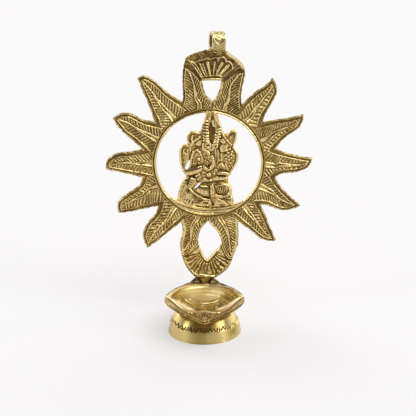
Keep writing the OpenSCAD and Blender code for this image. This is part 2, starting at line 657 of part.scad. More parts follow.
// Engraving on the lip: a line round the hollow, notches along the edge and a
// shell of short strokes that opens from the tip
module lip_engraving() {
    grow = 1 + lip_groove_gap / dish_r;
    grow_out = grow + lip_groove_w / dish_r;
    translate([0, 0, rim_z - lip_groove_depth])
        linear_extrude(lip_groove_depth + cut_over) difference() {
            polygon(concat(hollow_half * grow_out, flip(mirror_x(hollow_half * grow_out))));
            polygon(concat(hollow_half * grow, flip(mirror_x(hollow_half * grow))));
        }
    translate([0, 0, rim_z - notch_depth])
        linear_extrude(notch_depth + cut_over)
            for (k = [1:edge_notches]) {
                p = along(bowl_half, k / (edge_notches + 1) * notched_share);
                for (side = [-1, 1])
                    translate([side * p[0], p[1]])
                        rotate(side * atan2(p[0], -p[1]))
                            square([notch_w, 2 * notch_len], center = true);
            }
    translate([0, -bowl_tip * shell_root_share, rim_z - shell_cut_depth])
        linear_extrude(shell_cut_depth + cut_over)
            for (k = [0:shell_strokes - 1])
                fan_lobe(shell_start_share * bowl_tip, shell_end_share * bowl_tip,
                    (k - (shell_strokes - 1) / 2) * shell_step, shell_step);
}
edge_notches = 16;
notched_share = 0.55;
shell_strokes = 7;
shell_step = 15;
shell_root_share = 0.94;
shell_start_share = 0.1;
shell_end_share = 0.24;

module lamp_bowl() {
    color(brass) difference() {
        union() {
            bowl_lip();
            translate([0, 0, base_h])
                cylinder(r1 = neck_r, r2 = dish_r * under_share, h = rim_z - lip_t - base_h, $fn = 120);
            translate([0, 0, base_h - stud_len])
                cylinder(r = stud_r, h = stud_len, $fn = 48);
            bowl_lug();
        }
        bowl_hollow();
        lip_engraving();
    }
}

under_share = 0.92;

// Solder beside the tongue, on the rim and against the lug
module solder_mounds() {
    color(solder_grey) difference() {
        for (side = [-1, 1])
            translate([side * tongue_w / 2, frame_back_y, rim_z])
                cylinder(r1 = mound_r, r2 = mound_top_r, h = mound_h, $fn = 40);
        translate([-lug_w, frame_back_y, rim_z - cut_over])
            cube([2 * lug_w, 2 * mound_r, 2 * lug_h]);
        on_frame() linear_extrude(leaf_top) polygon(foot_outline);
    }
}

stand_base();
base_washer();
base_nut();
lamp_bowl();
solder_mounds();
sun_ring();
for (k = [0:9]) ray_leaf(k);
crest_leaf(valley_angles[11], crest_out_left_shares, crest_window_left_shares, crest_seam_left_shares);  // crest_leaf_left
crest_leaf(valley_angles[0], crest_out_right_shares, crest_window_right_shares, crest_seam_right_shares);  // crest_leaf_right
crest_fan();
foot_leaf(valley_angles[6], foot_out_left_shares, foot_window_left_shares, foot_seam_left_shares);  // foot_leaf_left
foot_leaf(valley_angles[5], foot_out_right_shares, foot_window_right_shares, foot_seam_right_shares);  // foot_leaf_right
foot_fan();
hanging_loop();
figure_seat();
seated_figure();
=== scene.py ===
"""A brass aarti lamp: turned stand, leaf-shaped oil bowl and an upright sun frame with a
seated figure. Lengths in the tables and functions are millimetres, and they become
metres where a mesh is made. A place on the frame is (a, b, d): a to the right of the
ring's centre, b above it and d forward from the frame's flat back. Angles on the frame
run clockwise from its top."""
import math
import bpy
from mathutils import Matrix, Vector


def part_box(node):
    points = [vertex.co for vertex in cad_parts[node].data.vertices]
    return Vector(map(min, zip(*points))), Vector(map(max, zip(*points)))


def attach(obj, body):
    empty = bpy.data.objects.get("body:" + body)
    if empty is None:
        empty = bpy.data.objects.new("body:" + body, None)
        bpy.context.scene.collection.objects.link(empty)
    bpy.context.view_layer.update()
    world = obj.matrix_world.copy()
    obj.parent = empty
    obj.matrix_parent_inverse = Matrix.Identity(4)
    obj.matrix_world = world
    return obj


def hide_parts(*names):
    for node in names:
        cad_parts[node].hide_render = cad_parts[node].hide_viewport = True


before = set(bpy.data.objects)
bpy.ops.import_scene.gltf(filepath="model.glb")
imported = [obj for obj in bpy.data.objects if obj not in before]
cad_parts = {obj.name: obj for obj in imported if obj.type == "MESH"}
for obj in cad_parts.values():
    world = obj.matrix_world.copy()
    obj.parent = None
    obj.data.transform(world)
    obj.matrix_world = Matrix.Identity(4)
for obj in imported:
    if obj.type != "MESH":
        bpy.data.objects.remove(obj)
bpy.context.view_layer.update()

from types import SimpleNamespace

import bpy
import mathutils
import numpy as np

# Driving sizes
MM = 0.001
LEAN = math.radians(3)  # of the frame to the right
LIP_T = 3.2  # thickness of the bowl's lip
DISH_R = 31.0  # radius of the bowl's hollow
RECESS_R = 12.2  # radius of the oil recess in its middle
DISH_DEPTH = 3.7  # depth of the hollow at the recess
RECESS_DEPTH = 2.2  # further depth of the recess
BORDER_W = 2.8  # width of a leaf's border
LEAF_TOP = 3.2  # height of the leaves' ridges over the frame's back
WEB_W = 9.0  # width of the web between the ring and the valleys
CREST_W = 49.0
CREST_H = 43.2  # height of the crest over the valleys beside it
FOOT_HALF_W = 27.8
TONGUE_W = 11.0
LEAF_REACH = 84.0  # distance from the ring's centre that the leaves' shares count to
RING_W = 3.8
RING_RISE = 103.7  # height of the ring's centre over the bowl's rim
EYE_R = 5.2  # radius of the hanging loop's eye
LOOP_R = 8.2
LOOP_W = 10.6
LOOP_YAW = math.radians(12)  # turn of the loop about the upright
SEAT_TOP_R = 62.6  # radius of the seat's curved top
SEAT_W = 4.7  # height of the seat's middle over the ring's hole


def in_mm(box):
    """The low and the high corner of a box, in millimetres."""
    return [np.array(corner) / MM for corner in box]


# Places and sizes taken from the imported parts
ring_low, ring_high = in_mm(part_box("sun_ring"))
stand_high = in_mm(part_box("stand_base"))[1]
bowl_low, bowl_high = in_mm(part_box("lamp_bowl"))
foot_low = in_mm(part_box("foot_fan"))[0]
RING_CENTRE = (ring_low + ring_high) / 2
BACK_Y = ring_high[1]
RING_T = ring_high[1] - ring_low[1]
RING_OUT_R = (ring_high[0] - ring_low[0]) / 2
RING_HOLE_R = RING_OUT_R - RING_W
RIM_Z = foot_low[2]
# The leaves' roots run a little way into the ring
ROOT_R = RING_OUT_R - 0.15
VALLEY_R = RING_OUT_R + WEB_W
LEAF_LEN = LEAF_REACH - VALLEY_R

# Angles of the valleys between the leaves, clockwise from the top
VALLEYS = [25.4, 48.6, 74.2, 99.5, 126.8, 150.9, 201.4, 225.7, 254.4, 279.3, 305.5, 334.4]
VALLEY_LINE = VALLEY_R * math.cos(math.radians(VALLEYS[0]))

# The ten sun leaves, clockwise: both sides from valley to tip, then the tip. A point is
# an angle and a share of the leaf's length beyond the valley.
RAY_SHARES = [
    [[[28.8, 0.46], [32, 0.83]], [[44.7, 0.22], [41, 0.7], [38.6, 0.93]], [32.6, 1.11]],
    [[[53, 0.34], [56.5, 0.66]], [[67.8, 0.33], [64.9, 0.78], [61.4, 1]], [58.8, 1.07]],
    [[[79, 0.27], [82.5, 0.67]], [[95.4, 0.17], [92.4, 0.62], [89, 0.9]], [84, 1.01]],
    [[[105.8, 0.24], [110, 0.59]], [[123.6, 0.17], [121, 0.55], [116.8, 0.81]], [112.6, 0.98]],
    [[[130.6, 0.32], [134, 0.63]], [[146.6, 0.34], [143.4, 0.76], [139.8, 1]], [136.8, 1.07]],
    [[[205.2, 0.3], [209.2, 0.79]], [[222.2, 0.23], [221.4, 0.6], [218.2, 0.95]], [212, 1.17]],
    [[[230.6, 0.32], [233.8, 0.66]], [[248.8, 0.16], [245.6, 0.56], [243, 0.9]], [237, 1.04]],
    [[[257.3, 0.21], [261.3, 0.61]], [[275.5, 0.34], [273.2, 0.69], [269, 0.94]], [263.6, 0.99]],
    [[[284.5, 0.3], [287.8, 0.63]], [[301.6, 0.32], [300.6, 0.66], [297.4, 0.93]], [292.6, 1.05]],
    [[[312.7, 0.49], [316, 0.88]], [[327.7, 0.42], [324.8, 0.86], [321.8, 1.15]], [318, 1.22]]]

# Shares of the crest's half width and of its height above the valley line
CREST_OUT_LEFT = [[-0.94, 0.08], [-0.96, 0.2], [-1, 0.44], [-0.99, 0.6], [-0.985, 0.68]]
CREST_TOP_LEFT = [[-0.985, 0.68], [-0.95, 0.77], [-0.88, 0.85], [-0.7, 0.907], [-0.41, 0.97], [-0.23, 1]]
CREST_TOP_RIGHT = [[0.35, 1], [0.57, 0.914], [0.78, 0.83], [0.92, 0.75], [1, 0.653]]
CREST_OUT_RIGHT = [[0.94, 0.09], [0.935, 0.2], [0.965, 0.39], [1.01, 0.56], [1, 0.653]]
CREST_WINDOW_LEFT = [[0.02, 0.04], [-0.19, 0.14], [-0.315, 0.29], [-0.37, 0.415]]
CREST_WINDOW_RIGHT = [[0.02, 0.04], [0.14, 0.13], [0.225, 0.28], [0.265, 0.44]]
CREST_WINDOW_TOP = [[-0.37, 0.415], [-0.15, 0.433], [0.05, 0.44], [0.265, 0.44]]
CREST_SEAM_LEFT = [[-0.37, 0.415], [-0.47, 0.51], [-0.64, 0.615], [-0.83, 0.683], [-0.985, 0.68]]
CREST_SEAM_RIGHT = [[0.265, 0.44], [0.4, 0.51], [0.58, 0.6], [0.81, 0.655], [1, 0.653]]

# Shares of the foot's half width and of the rise from the rim to the ring
FOOT_OUT_LEFT = [[-0.66, -0.55], [-0.67, -0.6], [-0.72, -0.68], [-0.67, -0.757]]
FOOT_LOW_LEFT = [[-0.67, -0.757], [-0.6, -0.82], [-0.5, -0.873], [-0.38, -0.916], [-0.245, -0.952]]
FOOT_LOW_RIGHT = [
    [0.395, -0.952], [0.53, -0.926], [0.66, -0.895], [0.77, -0.855], [0.84, -0.81], [0.87, -0.77]]
FOOT_OUT_RIGHT = [[0.98, -0.53], [1, -0.6], [0.98, -0.68], [0.87, -0.77]]
FOOT_WINDOW_LEFT = [[0.08, -0.476], [-0.045, -0.513], [-0.155, -0.566], [-0.2, -0.625], [-0.187, -0.667]]
FOOT_WINDOW_RIGHT = [[0.08, -0.476], [0.215, -0.513], [0.35, -0.556], [0.46, -0.604], [0.525, -0.652]]
FOOT_WINDOW_LOW_LEFT = [[-0.187, -0.667], [-0.108, -0.716], [0.01, -0.775], [0.11, -0.806]]
FOOT_WINDOW_LOW_RIGHT = [[0.525, -0.652], [0.43, -0.7], [0.32, -0.734], [0.2, -0.778], [0.11, -0.806]]
FOOT_SEAM_LEFT = [[-0.187, -0.667], [-0.29, -0.7], [-0.43, -0.738], [-0.56, -0.76], [-0.67, -0.757]]
FOOT_SEAM_RIGHT = [[0.525, -0.652], [0.6, -0.7], [0.68, -0.745], [0.77, -0.771], [0.87, -0.77]]
# Where the rods of the foot's fan point, and the middle of its tongue
FOOT_FAN = [0.09, -0.733]
TONGUE_SHARE = 0.075

# Half of the bowl's outline from tip to stem, as shares of half width and reach, and
# the front edge of its hollow, as shares of the dish's radius
BOWL_FRONT = [[0, -1], [0.19, -0.88], [0.42, -0.7], [0.66, -0.51], [0.88, -0.28], [0.99, -0.07], [1, 0]]
BOWL_BACK = [[1, 0], [0.97, 0.18], [0.89, 0.36], [0.76, 0.54], [0.55, 0.74], [0.36, 0.9], [0.25, 1]]
HOLLOW = [[1.02, 0.12], [0.9, -0.1], [0.72, -0.46], [0.55, -0.76], [0.36, -0.95], [0.12, -0.88], [0, -0.84]]


# Curves, noise and small helpers

def smooth(points, steps=10):
    """A dense Catmull-Rom path through the points."""
    p = np.array(points, float)
    padded = np.vstack([p[0], p, p[-1]])
    t = np.linspace(0, 1, steps, endpoint=False)[:, None]
    rows = []
    for p0, p1, p2, p3 in zip(padded, padded[1:], padded[2:], padded[3:]):
        rows.append(0.5 * (2 * p1 + (p2 - p0) * t + (2 * p0 - 5 * p1 + 4 * p2 - p3) * t ** 2
                           + (3 * p1 - p0 - 3 * p2 + p3) * t ** 3))
    return np.vstack(rows + [p[-1:]])


def along(path, shares):
    """Points at shares of a path's own length."""
    runs = np.concatenate([[0], np.cumsum(np.linalg.norm(np.diff(path, axis=0), axis=1))])
    return np.stack([np.interp(shares * runs[-1], runs, path[:, k]) for k in range(path.shape[1])], -1)


def path_length(path):
    return np.linalg.norm(np.diff(path, axis=0), axis=1).sum()


def nearest(points, path):
    """Distance from each point to a path, and how far along the path it is reached."""
    shape = points.shape[:-1]
    p = points.reshape(-1, 2)
    best = np.full(len(p), np.inf)
    where = np.zeros(len(p))
    run = 0.0
    for a, b in zip(path[:-1], path[1:]):
        step = b - a
        length = math.hypot(*step)
        if length < 1e-9:
            continue
        t = np.clip((p - a) @ step / length ** 2, 0, 1)
        gap = np.linalg.norm(p - a - t[:, None] * step, axis=1)
        closer = gap < best
        best[closer] = gap[closer]
        where[closer] = run + t[closer] * length
        run += length
    return best.reshape(shape), where.reshape(shape)


def gap_to(points, path):
    """Distance from each point to a path."""
    return nearest(points, path)[0]


def joined(*paths):
    """Paths end to end, without the repeated points."""
    return np.vstack([paths[0]] + [p[1:] for p in paths[1:]])


def polar(r, angle):
    """A point at a radius and an angle clockwise from the top, in degrees."""
    turn = np.radians(angle)
    return np.stack([r * np.sin(turn), r * np.cos(turn)], -1)


def around(points, centre):
    """Radius and angle clockwise from the top, in degrees, about a centre."""
    away = points - centre
    return np.hypot(away[..., 0], away[..., 1]), np.degrees(np.arctan2(away[..., 0], away[..., 1]))


def step_up(low, high, x):
    """Smoothly 0 below low and 1 above high. A high under low makes it a step down."""
    t = np.clip((x - low) / (high - low), 0, 1)
    return t * t * (3 - 2 * t)


def bump(x, half):
    """A round ridge: 1 at x = 0 and 0 beyond half."""
    return np.sqrt(np.clip(1 - (x / half) ** 2, 0, 1))


def soft(x, half):
    """A smooth hill: 1 at x = 0 and 0 beyond half."""
    return np.clip(1 - (x / half) ** 2, 0, 1) ** 2


def ripple(turns):
    """A wave from 0 to 1 that tops at every whole number."""
    return 0.5 + 0.5 * np.cos(2 * math.pi * turns)


def worn_edge(e, width):
    """How much of an edge is worn away: 1 at the edge and 0 from width inside it."""
    return (1 - np.clip(e / width, 0, 1)) ** 2


def lay_over(height, ridge, top, start=0.05):
    """Heights with a ridge of height top over them, wherever ridge is above the start."""
    return np.where(ridge > start, np.maximum(height, top), height)


NOISE_CELLS = 32
NOISE_TABLE = np.random.RandomState(7).rand(NOISE_CELLS, NOISE_CELLS, NOISE_CELLS)
# How far the noise of the next seed lies from that of the last, in cells
SEED_STEP = 7.31
SEED_LAYER = 1.7


def noise(points, size, seed=0):
    """Smooth noise from -1 to 1, with features about size apart."""
    q = points / size + seed * SEED_STEP
    if q.shape[-1] == 2:
        q = np.concatenate([q, np.full(q.shape[:-1] + (1,), seed * SEED_LAYER)], -1)
    cell = np.floor(q).astype(int)
    f = q - cell
    f = f * f * (3 - 2 * f)
    total = np.zeros(q.shape[:-1])
    for corner in np.ndindex(2, 2, 2):
        weight = np.ones(q.shape[:-1])
        for k in range(3):
            weight = weight * (f[..., k] if corner[k] else 1 - f[..., k])
        i, j, k = [(cell[..., n] + corner[n]) % NOISE_CELLS for n in range(3)]
        total += weight * NOISE_TABLE[i, j, k]
    return 2 * total - 1


# From the frame's own coordinates to the lamp's

def on_frame(abd):
    """Frame places (a, b, d) as lamp places in metres."""
    a, b, d = abd[..., 0], abd[..., 1], abd[..., 2]
    x = RING_CENTRE[0] + a * math.cos(LEAN) + b * math.sin(LEAN)
    z = RING_CENTRE[2] - a * math.sin(LEAN) + b * math.cos(LEAN)
    return np.stack([x, BACK_Y - d, z], -1) * MM


def lift(ab, d):
    """Places (a, b, d) from places (a, b) and their depths."""
    return np.concatenate([ab, np.broadcast_to(d, ab.shape[:-1])[..., None]], -1)


# Meshes

def add_piece(name, verts, faces, material, patina, crease=60):
    """Makes a mesh piece that replaces the CAD node of the same name. faces is a list
    of arrays of equal-sided faces, and verts are in metres. patina, 0 to 1, says how
    brown each vertex is."""
    mesh = bpy.data.meshes.new(name)
    loops = np.concatenate([f.ravel() for f in faces])
    sizes = np.concatenate([np.full(len(f), f.shape[1]) for f in faces])
    starts = np.concatenate([[0], np.cumsum(sizes)[:-1]])
    mesh.vertices.add(len(verts))
    mesh.vertices.foreach_set("co", verts.astype(np.float32).ravel())
    mesh.loops.add(len(loops))
    mesh.loops.foreach_set("vertex_index", loops.astype(np.int32))
    mesh.polygons.add(len(sizes))
    mesh.polygons.foreach_set("loop_start", starts.astype(np.int32))
    mesh.update(calc_edges=True)
    mesh.validate()
    mesh.polygons.foreach_set("use_smooth", np.ones(len(mesh.polygons), bool))
    mesh.set_sharp_from_angle(angle=math.radians(crease))
    layer = mesh.attributes.new("patina", "FLOAT", "POINT")
    layer.data.foreach_set("value", np.clip(patina, 0, 1).astype(np.float32).ravel())
    mesh.materials.append(material)
    piece = bpy.data.objects.new(name + "_look", mesh)
    bpy.context.scene.collection.objects.link(piece)
    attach(piece, "root")
    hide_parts(name)


def grid_faces(rows, cols, start=0, flip=False, wrap=False):
    """Quads of a grid of vertices numbered row by row. wrap joins the last row to the
    first."""
    index = start + np.arange(rows * cols).reshape(rows, cols)
    if wrap:
        index = np.vstack([index, index[:1]])
    quads = np.stack([index[:-1, :-1], index[:-1, 1:], index[1:, 1:], index[1:, :-1]], -1)
    quads = quads.reshape(-1, 4)
    return quads[:, ::-1] if flip else quads


def band_faces(lower, upper):
    """Quads between two closed rows of vertex numbers."""
    return np.stack([lower, np.roll(lower, -1), np.roll(upper, -1), upper], -1)


def turned_faces(rows, cols):
    """Faces of a closed profile of cols points that is turned once round in rows."""
    ends = np.arange(rows) * cols
    return [grid_faces(rows, cols, wrap=True), band_faces(ends + cols - 1, ends)[:, ::-1]]


def signed_area(loop):
    """Twice the area of a closed loop, positive when it runs counter-clockwise."""
    x, y = loop[:, 0], loop[:, 1]
    return (x * np.roll(y, -1) - np.roll(x, -1) * y).sum()


def to_the_right(steps):
    """Unit vectors to the right of steps."""
    length = np.maximum(np.linalg.norm(steps, axis=1, keepdims=True), 1e-6)
    return np.stack([steps[:, 1], -steps[:, 0]], -1) / length


def outward(loop):
    """Unit vectors away from the inside of a closed loop of places."""
    normal = to_the_right(np.roll(loop, -1, 0) - np.roll(loop, 1, 0))
    return normal if signed_area(loop) > 0 else -normal


# A plate's wall from front to back: share of the height, and how far it bulges
WALL_RINGS = ((0.62, 0.12), (0.18, 0.1))
WALL_PATINA = 0.45


def relief_solid(name, ab, height, patina, material):
    """A closed plate whose front is the grid of places ab (rows, cols, 2) at the given
    heights, with slightly rounded walls and a flat, rough back."""
    rows, cols = height.shape
    index = np.arange(rows * cols).reshape(rows, cols)
    rim = np.concatenate([index[0, :-1], index[:-1, -1], index[-1, :0:-1], index[:0:-1, 0]])
    if signed_area(ab.reshape(-1, 2)[rim]) < 0:
        ab, height, patina = ab[:, ::-1], height[:, ::-1], patina[:, ::-1]
    front = lift(ab, height).reshape(-1, 3)
    walls = []
    for share, grow in WALL_RINGS:
        ring = front[rim]
        ring[:, 2] *= share
        ring[:, :2] += grow * outward(front[rim, :2])
        walls.append(ring)
    rough = 0.16 + 0.16 * noise(ab, 2.6, 17) + 0.06 * noise(ab, 0.9, 18)
    back = lift(ab, np.clip(rough, 0, 0.5)).reshape(-1, 3)
    verts = np.vstack([front, *walls, back])
    count = len(rim)
    first = len(front)
    back_first = first + len(walls) * count
    levels = [rim]
    levels += [first + k * count + np.arange(count) for k in range(len(walls))]
    levels.append(back_first + rim)
    faces = [grid_faces(rows, cols)]
    faces += [band_faces(lower, upper) for upper, lower in zip(levels, levels[1:])]
    faces.append(grid_faces(rows, cols, back_first, flip=True))
    back_patina = 0.3 + 0.22 * noise(ab, 6, 19) + 0.7 * rough
    wall_patina = np.full(len(walls) * count, WALL_PATINA)
    patina = np.concatenate([patina.ravel(), wall_patina, back_patina.ravel()])
    add_piece(name, on_frame(verts), faces, material, patina)


# Leaves: sun leaves, and those beside the windows of the crest and the foot

# A leaf's side: distance along it, distance of the bead from it, strength of its rim
FREE_SIDE = [[0, 4.3, 1], [14, 4.0, 1], [22, 3.3, 1], [32, BORDER_W, 1], [200, BORDER_W, 1]]

# How a leaf is chiselled. middle and swing say where its midribs run, apart and join how
# wide they start and at which share of the leaf they meet, pitch, slant and deep how the
# veins left and right of them are cut, and band how wide a flat border is on each side.
PLAIN_LOOK = {"swing": 0.0, "deep": (1.0, 1.0), "dark": 1.0, "rough": 0.0,
              "left_side": FREE_SIDE, "right_side": FREE_SIDE}
RAY_LOOK_KEYS = ("middle", "swing", "apart", "join", "pitch", "slant", "deep")
RAY_LOOKS = [
    (0.5, 0.03, 1.7, 0.45, (2.9, 3.5), (0.9, 0.6), (1, 1)),
    (0.58, -0.04, 2.3, 0.6, (2.8, 3.2), (1.1, 0.8), (0.9, 0.9)),
    (0.55, 0.05, 1.9, 0.7, (2.9, 3.2), (0.9, 0.9), (0.7, 1)),
    (0.46, 0.0, 2.0, 0.55, (3.0, 2.7), (1.0, 0.8), (1, 0.9)),
    (0.48, 0.04, 1.8, 0.55, (3.0, 3.0), (0.9, 0.9), (1, 1)),
    (0.5, -0.04, 1.7, 0.5, (3.0, 3.2), (1.0, 0.8), (1, 1)),
    (0.56, 0.04, 1.8, 0.65, (3.0, 3.0), (0.8, 0.9), (1, 1)),
    (0.5, 0.03, 2.2, 0.42, (2.7, 2.7), (0.9, 0.8), (0.7, 1)),
    (0.5, 0.05, 1.8, 0.5, (2.9, 2.8), (0.9, 0.8), (0.75, 1.15)),
    (0.5, -0.03, 1.9, 0.6, (3.0, 3.0), (0.9, 1.0), (1, 1.1))]
# The leaf whose tip is damaged: its place in the row, a pit (a, b, radius), roughness
BROKEN_LEAF = 3
BROKEN_LOOK = {"pit": (61.8, -31.2, 2.6), "rough": 1.0}
# The foot, and no sun leaf, stands between this valley and the next
FOOT_VALLEY = 5

# Half widths of the bead beside a leaf's border and of its midribs
BEAD_HALF = 0.62
RIB_HALF = 0.85
# Height of the sunk ground between the veins
GROUND = 1.6


def edge_points(rows, gather=0.4):
    """Shares from 0 to 1 that crowd a little towards both ends."""
    x = np.linspace(0, 1, rows)
    return (1 - gather) * x + gather * (0.5 - 0.5 * np.cos(math.pi * x))


def leaf_grid(left, right, angles, rows=124, cols=66, end=0.985):
    """Places on a leaf, in rows from its curved root on the ring out to its tip."""
    u = np.linspace(0, end, rows)
    t = edge_points(cols)
    grid = along(left, u)[:, None] * (1 - t)[None, :, None] + along(right, u)[:, None] * t[None, :, None]
    arc = polar(ROOT_R, angles[0] + (angles[1] - angles[0]) * t)
    fade = (1 - u)[:, None, None] ** 6
    return grid + fade * (arc - grid[0])[None], u, t


def side_profile(s, table):
    """The bead's distance from the edge and the rim's strength, at s along a side."""
    runs, beads, rims = np.array(table, float).T
    return np.interp(s, runs, beads), np.interp(s, runs, rims)


def stretched(path, reach=14.0):
    """A leaf's side whose straight part in the web runs on from the free edge, so that
    the beads of two neighbours meet on the ring."""
    free = path[1:]
    back = free[0] - free[4]
    return np.vstack([free[0] + back / np.linalg.norm(back) * reach, free])


def nibbled(path, seed, amount=0.3, count=130):
    """The path with a filed, slightly broken edge beyond the valley."""
    fine = along(path, np.linspace(0, 1, count))
    free = step_up(VALLEY_R + 0.5, VALLEY_R + 4, np.hypot(fine[:, 0], fine[:, 1]))
    shift = amount * noise(fine, 1.9, seed) + 0.5 * amount * noise(fine, 0.9, seed + 1)
    return fine + to_the_right(np.gradient(fine, axis=0)) * (shift * free)[:, None]


def leaf_veins(grid, u, t, length, look):
    """Heights inside a leaf's border: slanting veins on a sunk ground, either side of
    two midribs that run together."""
    seed, join = look["seed"], look["join"]
    u = u[:, None]
    width = np.linalg.norm(grid[:, -1] - grid[:, 0], axis=1)[:, None]
    middle = look["middle"] + look["swing"] * np.sin(math.pi * u)
    v = (t[None] - middle) * width
    side = (v >= 0).astype(int)
    pitch, slant, deep = [np.array(look[key])[side] for key in ("pitch", "slant", "deep")]
    out = np.abs(v) - look["apart"] * np.clip(1 - u / join, 0, 1) ** 0.8
    phase = (u * length - slant * out) / pitch + 0.22 * noise(grid, 4, seed + 1) + 0.4 * side
    vein = step_up(0.1, 0.8, ripple(phase)) * (0.85 + 0.4 * noise(grid, 2.2, seed + 2))
    height = GROUND + deep * vein * step_up(0.6, 1.5, out)
    between = step_up(0.1, -0.5, out)
    panel = 1.3 + 0.85 * step_up(0.45, 0.0, u / join - 0.15)
    height = height * (1 - between) + panel * between
    ridge = bump(out, RIB_HALF)
    return lay_over(height, ridge, (1.7 + 1.4 * ridge) * step_up(0.97, 0.85, u), 0.02)


def leaf_border(grid, e, on_left, bead, rim, look):
    """Heights of a leaf's border, an outer rim with a brown groove inside it or a flat
    band, and the distance of the bead from the edge."""
    groove_from = np.minimum(1.15, 0.45 * bead)
    outer = 2.5 - 0.95 * step_up(groove_from - 0.3, groove_from + 0.45, e)
    outer = outer + 0.25 * noise(grid, 1.8, look["seed"] + 6) * (e < 1.2)
    border = outer * rim + (1 - rim) * 1.75
    if "band" in look:
        wide = np.where(on_left, *look["band"])
        banded = (wide > 0) & (rim > 0.5)
        flat = 1.7 + 1.3 * bump(e - wide * 0.5, np.where(banded, wide * 0.6, 1))
        border = np.where(banded, flat, border)
        bead = np.where(banded, wide * 0.55, bead)
    return border, bead


def leaf_relief(grid, u, t, length, look):
    """Heights and patina of a veined leaf: border, thin bead, veins and midribs."""
    seed = look["seed"]
    e_left, s_left = nearest(grid, look["edges"][0])
    e_right, s_right = nearest(grid, look["edges"][1])
    on_left = e_left < e_right
    bead_left, rim_left = side_profile(s_left, look["left_side"])
    bead_right, rim_right = side_profile(s_right, look["right_side"])
    bead = np.where(on_left, bead_left, bead_right) + 0.2 * noise(grid, 4, seed)
    rim = np.where(on_left, rim_left, rim_right)
    e = np.where(on_left, e_left, e_right) + 0.12 * noise(grid, 1.6, seed + 5)

    border, bead = leaf_border(grid, e, on_left, bead, rim, look)
    inside = step_up(bead + 0.35, bead + 0.8, e)
    height = border * (1 - inside) + leaf_veins(grid, u, t, length, look) * inside
    ridge = bump(e - bead, BEAD_HALF)
    height = lay_over(height, ridge, 1.8 + 1.42 * ridge)
    height = height - 0.7 * rim * worn_edge(e, 0.5)
    if "pit" in look:
        a, b, r = look["pit"]
        gap = np.hypot(grid[..., 0] - a, grid[..., 1] - b) + 0.5 * noise(grid, 1.2, 3)
        pit = step_up(r, 0.4 * r, gap)
        height = height * (1 - pit) + 1.1 * pit
    rough = look["rough"] * step_up(0.72, 0.9, u)[:, None]
    height = height + 0.09 * noise(grid, 0.9, 5) + 0.14 * noise(grid, 6, 6)
    height = height + 0.5 * rough * noise(grid, 1.7, 7)
    height = np.clip(height, 0.9, LEAF_TOP + 0.1)
    patina = step_up(2.6, 1.4, height) * 0.76 * look["dark"] + 0.2 * noise(grid, 5, 8)
    spots = np.maximum(1 + 1.9 * noise(grid, 1.3, 9), 0)
    return height, patina + 0.23 * rim * step_up(1.5, 0.9, e) * spots


def leaf_piece(name, left, right, angles, look, material):
    """A veined leaf between two sides that run from the ring to its tip."""
    look = {**PLAIN_LOOK, **look}
    sides = nibbled(left, look["seed"] + 3), nibbled(right, look["seed"] + 4)
    grid, u, t = leaf_grid(*sides, angles)
    length = 0.5 * (path_length(left) + path_length(right))
    height, patina = leaf_relief(grid, u, t, length, look)
    relief_solid(name, grid, height, patina, material)


def side_from_ring(angle, path):
    """A leaf side that leaves the ring at an angle and then follows a path."""
    return np.vstack([polar(ROOT_R, angle), path])


def side_from_valley(angle, points):
    """A leaf side from the ring through a valley and along points."""
    return side_from_ring(angle, smooth([polar(VALLEY_R, angle), *points]))


def ray_side(angle, points):
    """A sun leaf's side from the ring through a valley and along table points."""
    return side_from_valley(angle, [polar(VALLEY_R + share * LEAF_LEN, turn) for turn, share in points])


def make_sun_leaves(material):
    """The ten leaves beside the crest and the foot."""
    for k, (*sides, tip) in enumerate(RAY_SHARES):
        valley = k if k < FOOT_VALLEY else k + 1
        angles = VALLEYS[valley], VALLEYS[valley + 1]
        left, right = [ray_side(angle, side + [tip]) for angle, side in zip(angles, sides)]
        look = dict(zip(RAY_LOOK_KEYS, RAY_LOOKS[k]), seed=k + 11, edges=(stretched(left), stretched(right)))
        if k == BROKEN_LEAF:
            look.update(BROKEN_LOOK)
        leaf_piece("leaf_ray_%02d" % (k + 1), left, right, angles, look, material)


def crest_places(shares):
    """Table points of the crest as places on the frame."""
    p = np.array(shares, float)
    return np.stack([p[:, 0] * CREST_W / 2, VALLEY_LINE + p[:, 1] * CREST_H], -1)


def foot_places(shares):
    """Table points of the foot as places on the frame."""
    p = np.array(shares, float)
    return np.stack([p[:, 0] * FOOT_HALF_W, p[:, 1] * RING_RISE], -1)


def crest_path(shares):
    """A smooth path through table points of the crest."""
    return smooth(crest_places(shares))


def foot_path(shares):
    """A smooth path through table points of the foot."""
    return smooth(foot_places(shares))


# The leaves beside the windows: name, valley they start from, tables of the outer side,
# the window's side and the seam with the fan, whether the outer side comes first
# clockwise, and how they are chiselled
CREST_LEAVES = [
    ("crest_leaf_left", 11, (CREST_OUT_LEFT, CREST_WINDOW_LEFT, CREST_SEAM_LEFT), True,
     {"seed": 30, "apart": 1.5, "band": (0, 2.9), "middle": 0.52, "swing": 0.06}),
    ("crest_leaf_right", 0, (CREST_OUT_RIGHT, CREST_WINDOW_RIGHT, CREST_SEAM_RIGHT), False,
     {"seed": 32, "apart": 1.0, "band": (2.9, 0), "middle": 0.5, "swing": -0.05})]
CREST_LOOK = {"join": 0.55, "pitch": (2.8, 2.8), "slant": (1.3, 1.3), "dark": 1.5}
CREST_OUTER_SIDE = [[0, 1.3, 0.6], [12, 1.9, 0.15], [200, 1.9, 0.15]]
FOOT_LEAVES = [
    ("foot_leaf_left", 6, (FOOT_OUT_LEFT, FOOT_WINDOW_LEFT, FOOT_SEAM_LEFT), False,
     {"seed": 41, "band": (0, 4.0), "middle": 0.46}),
    ("foot_leaf_right", 5, (FOOT_OUT_RIGHT, FOOT_WINDOW_RIGHT, FOOT_SEAM_RIGHT), True,
     {"seed": 42, "band": (3.6, 0), "middle": 0.56})]
FOOT_LOOK = {"join": 0.6, "apart": 1.5, "pitch": (2.9, 2.9), "slant": (1.0, 1.0)}
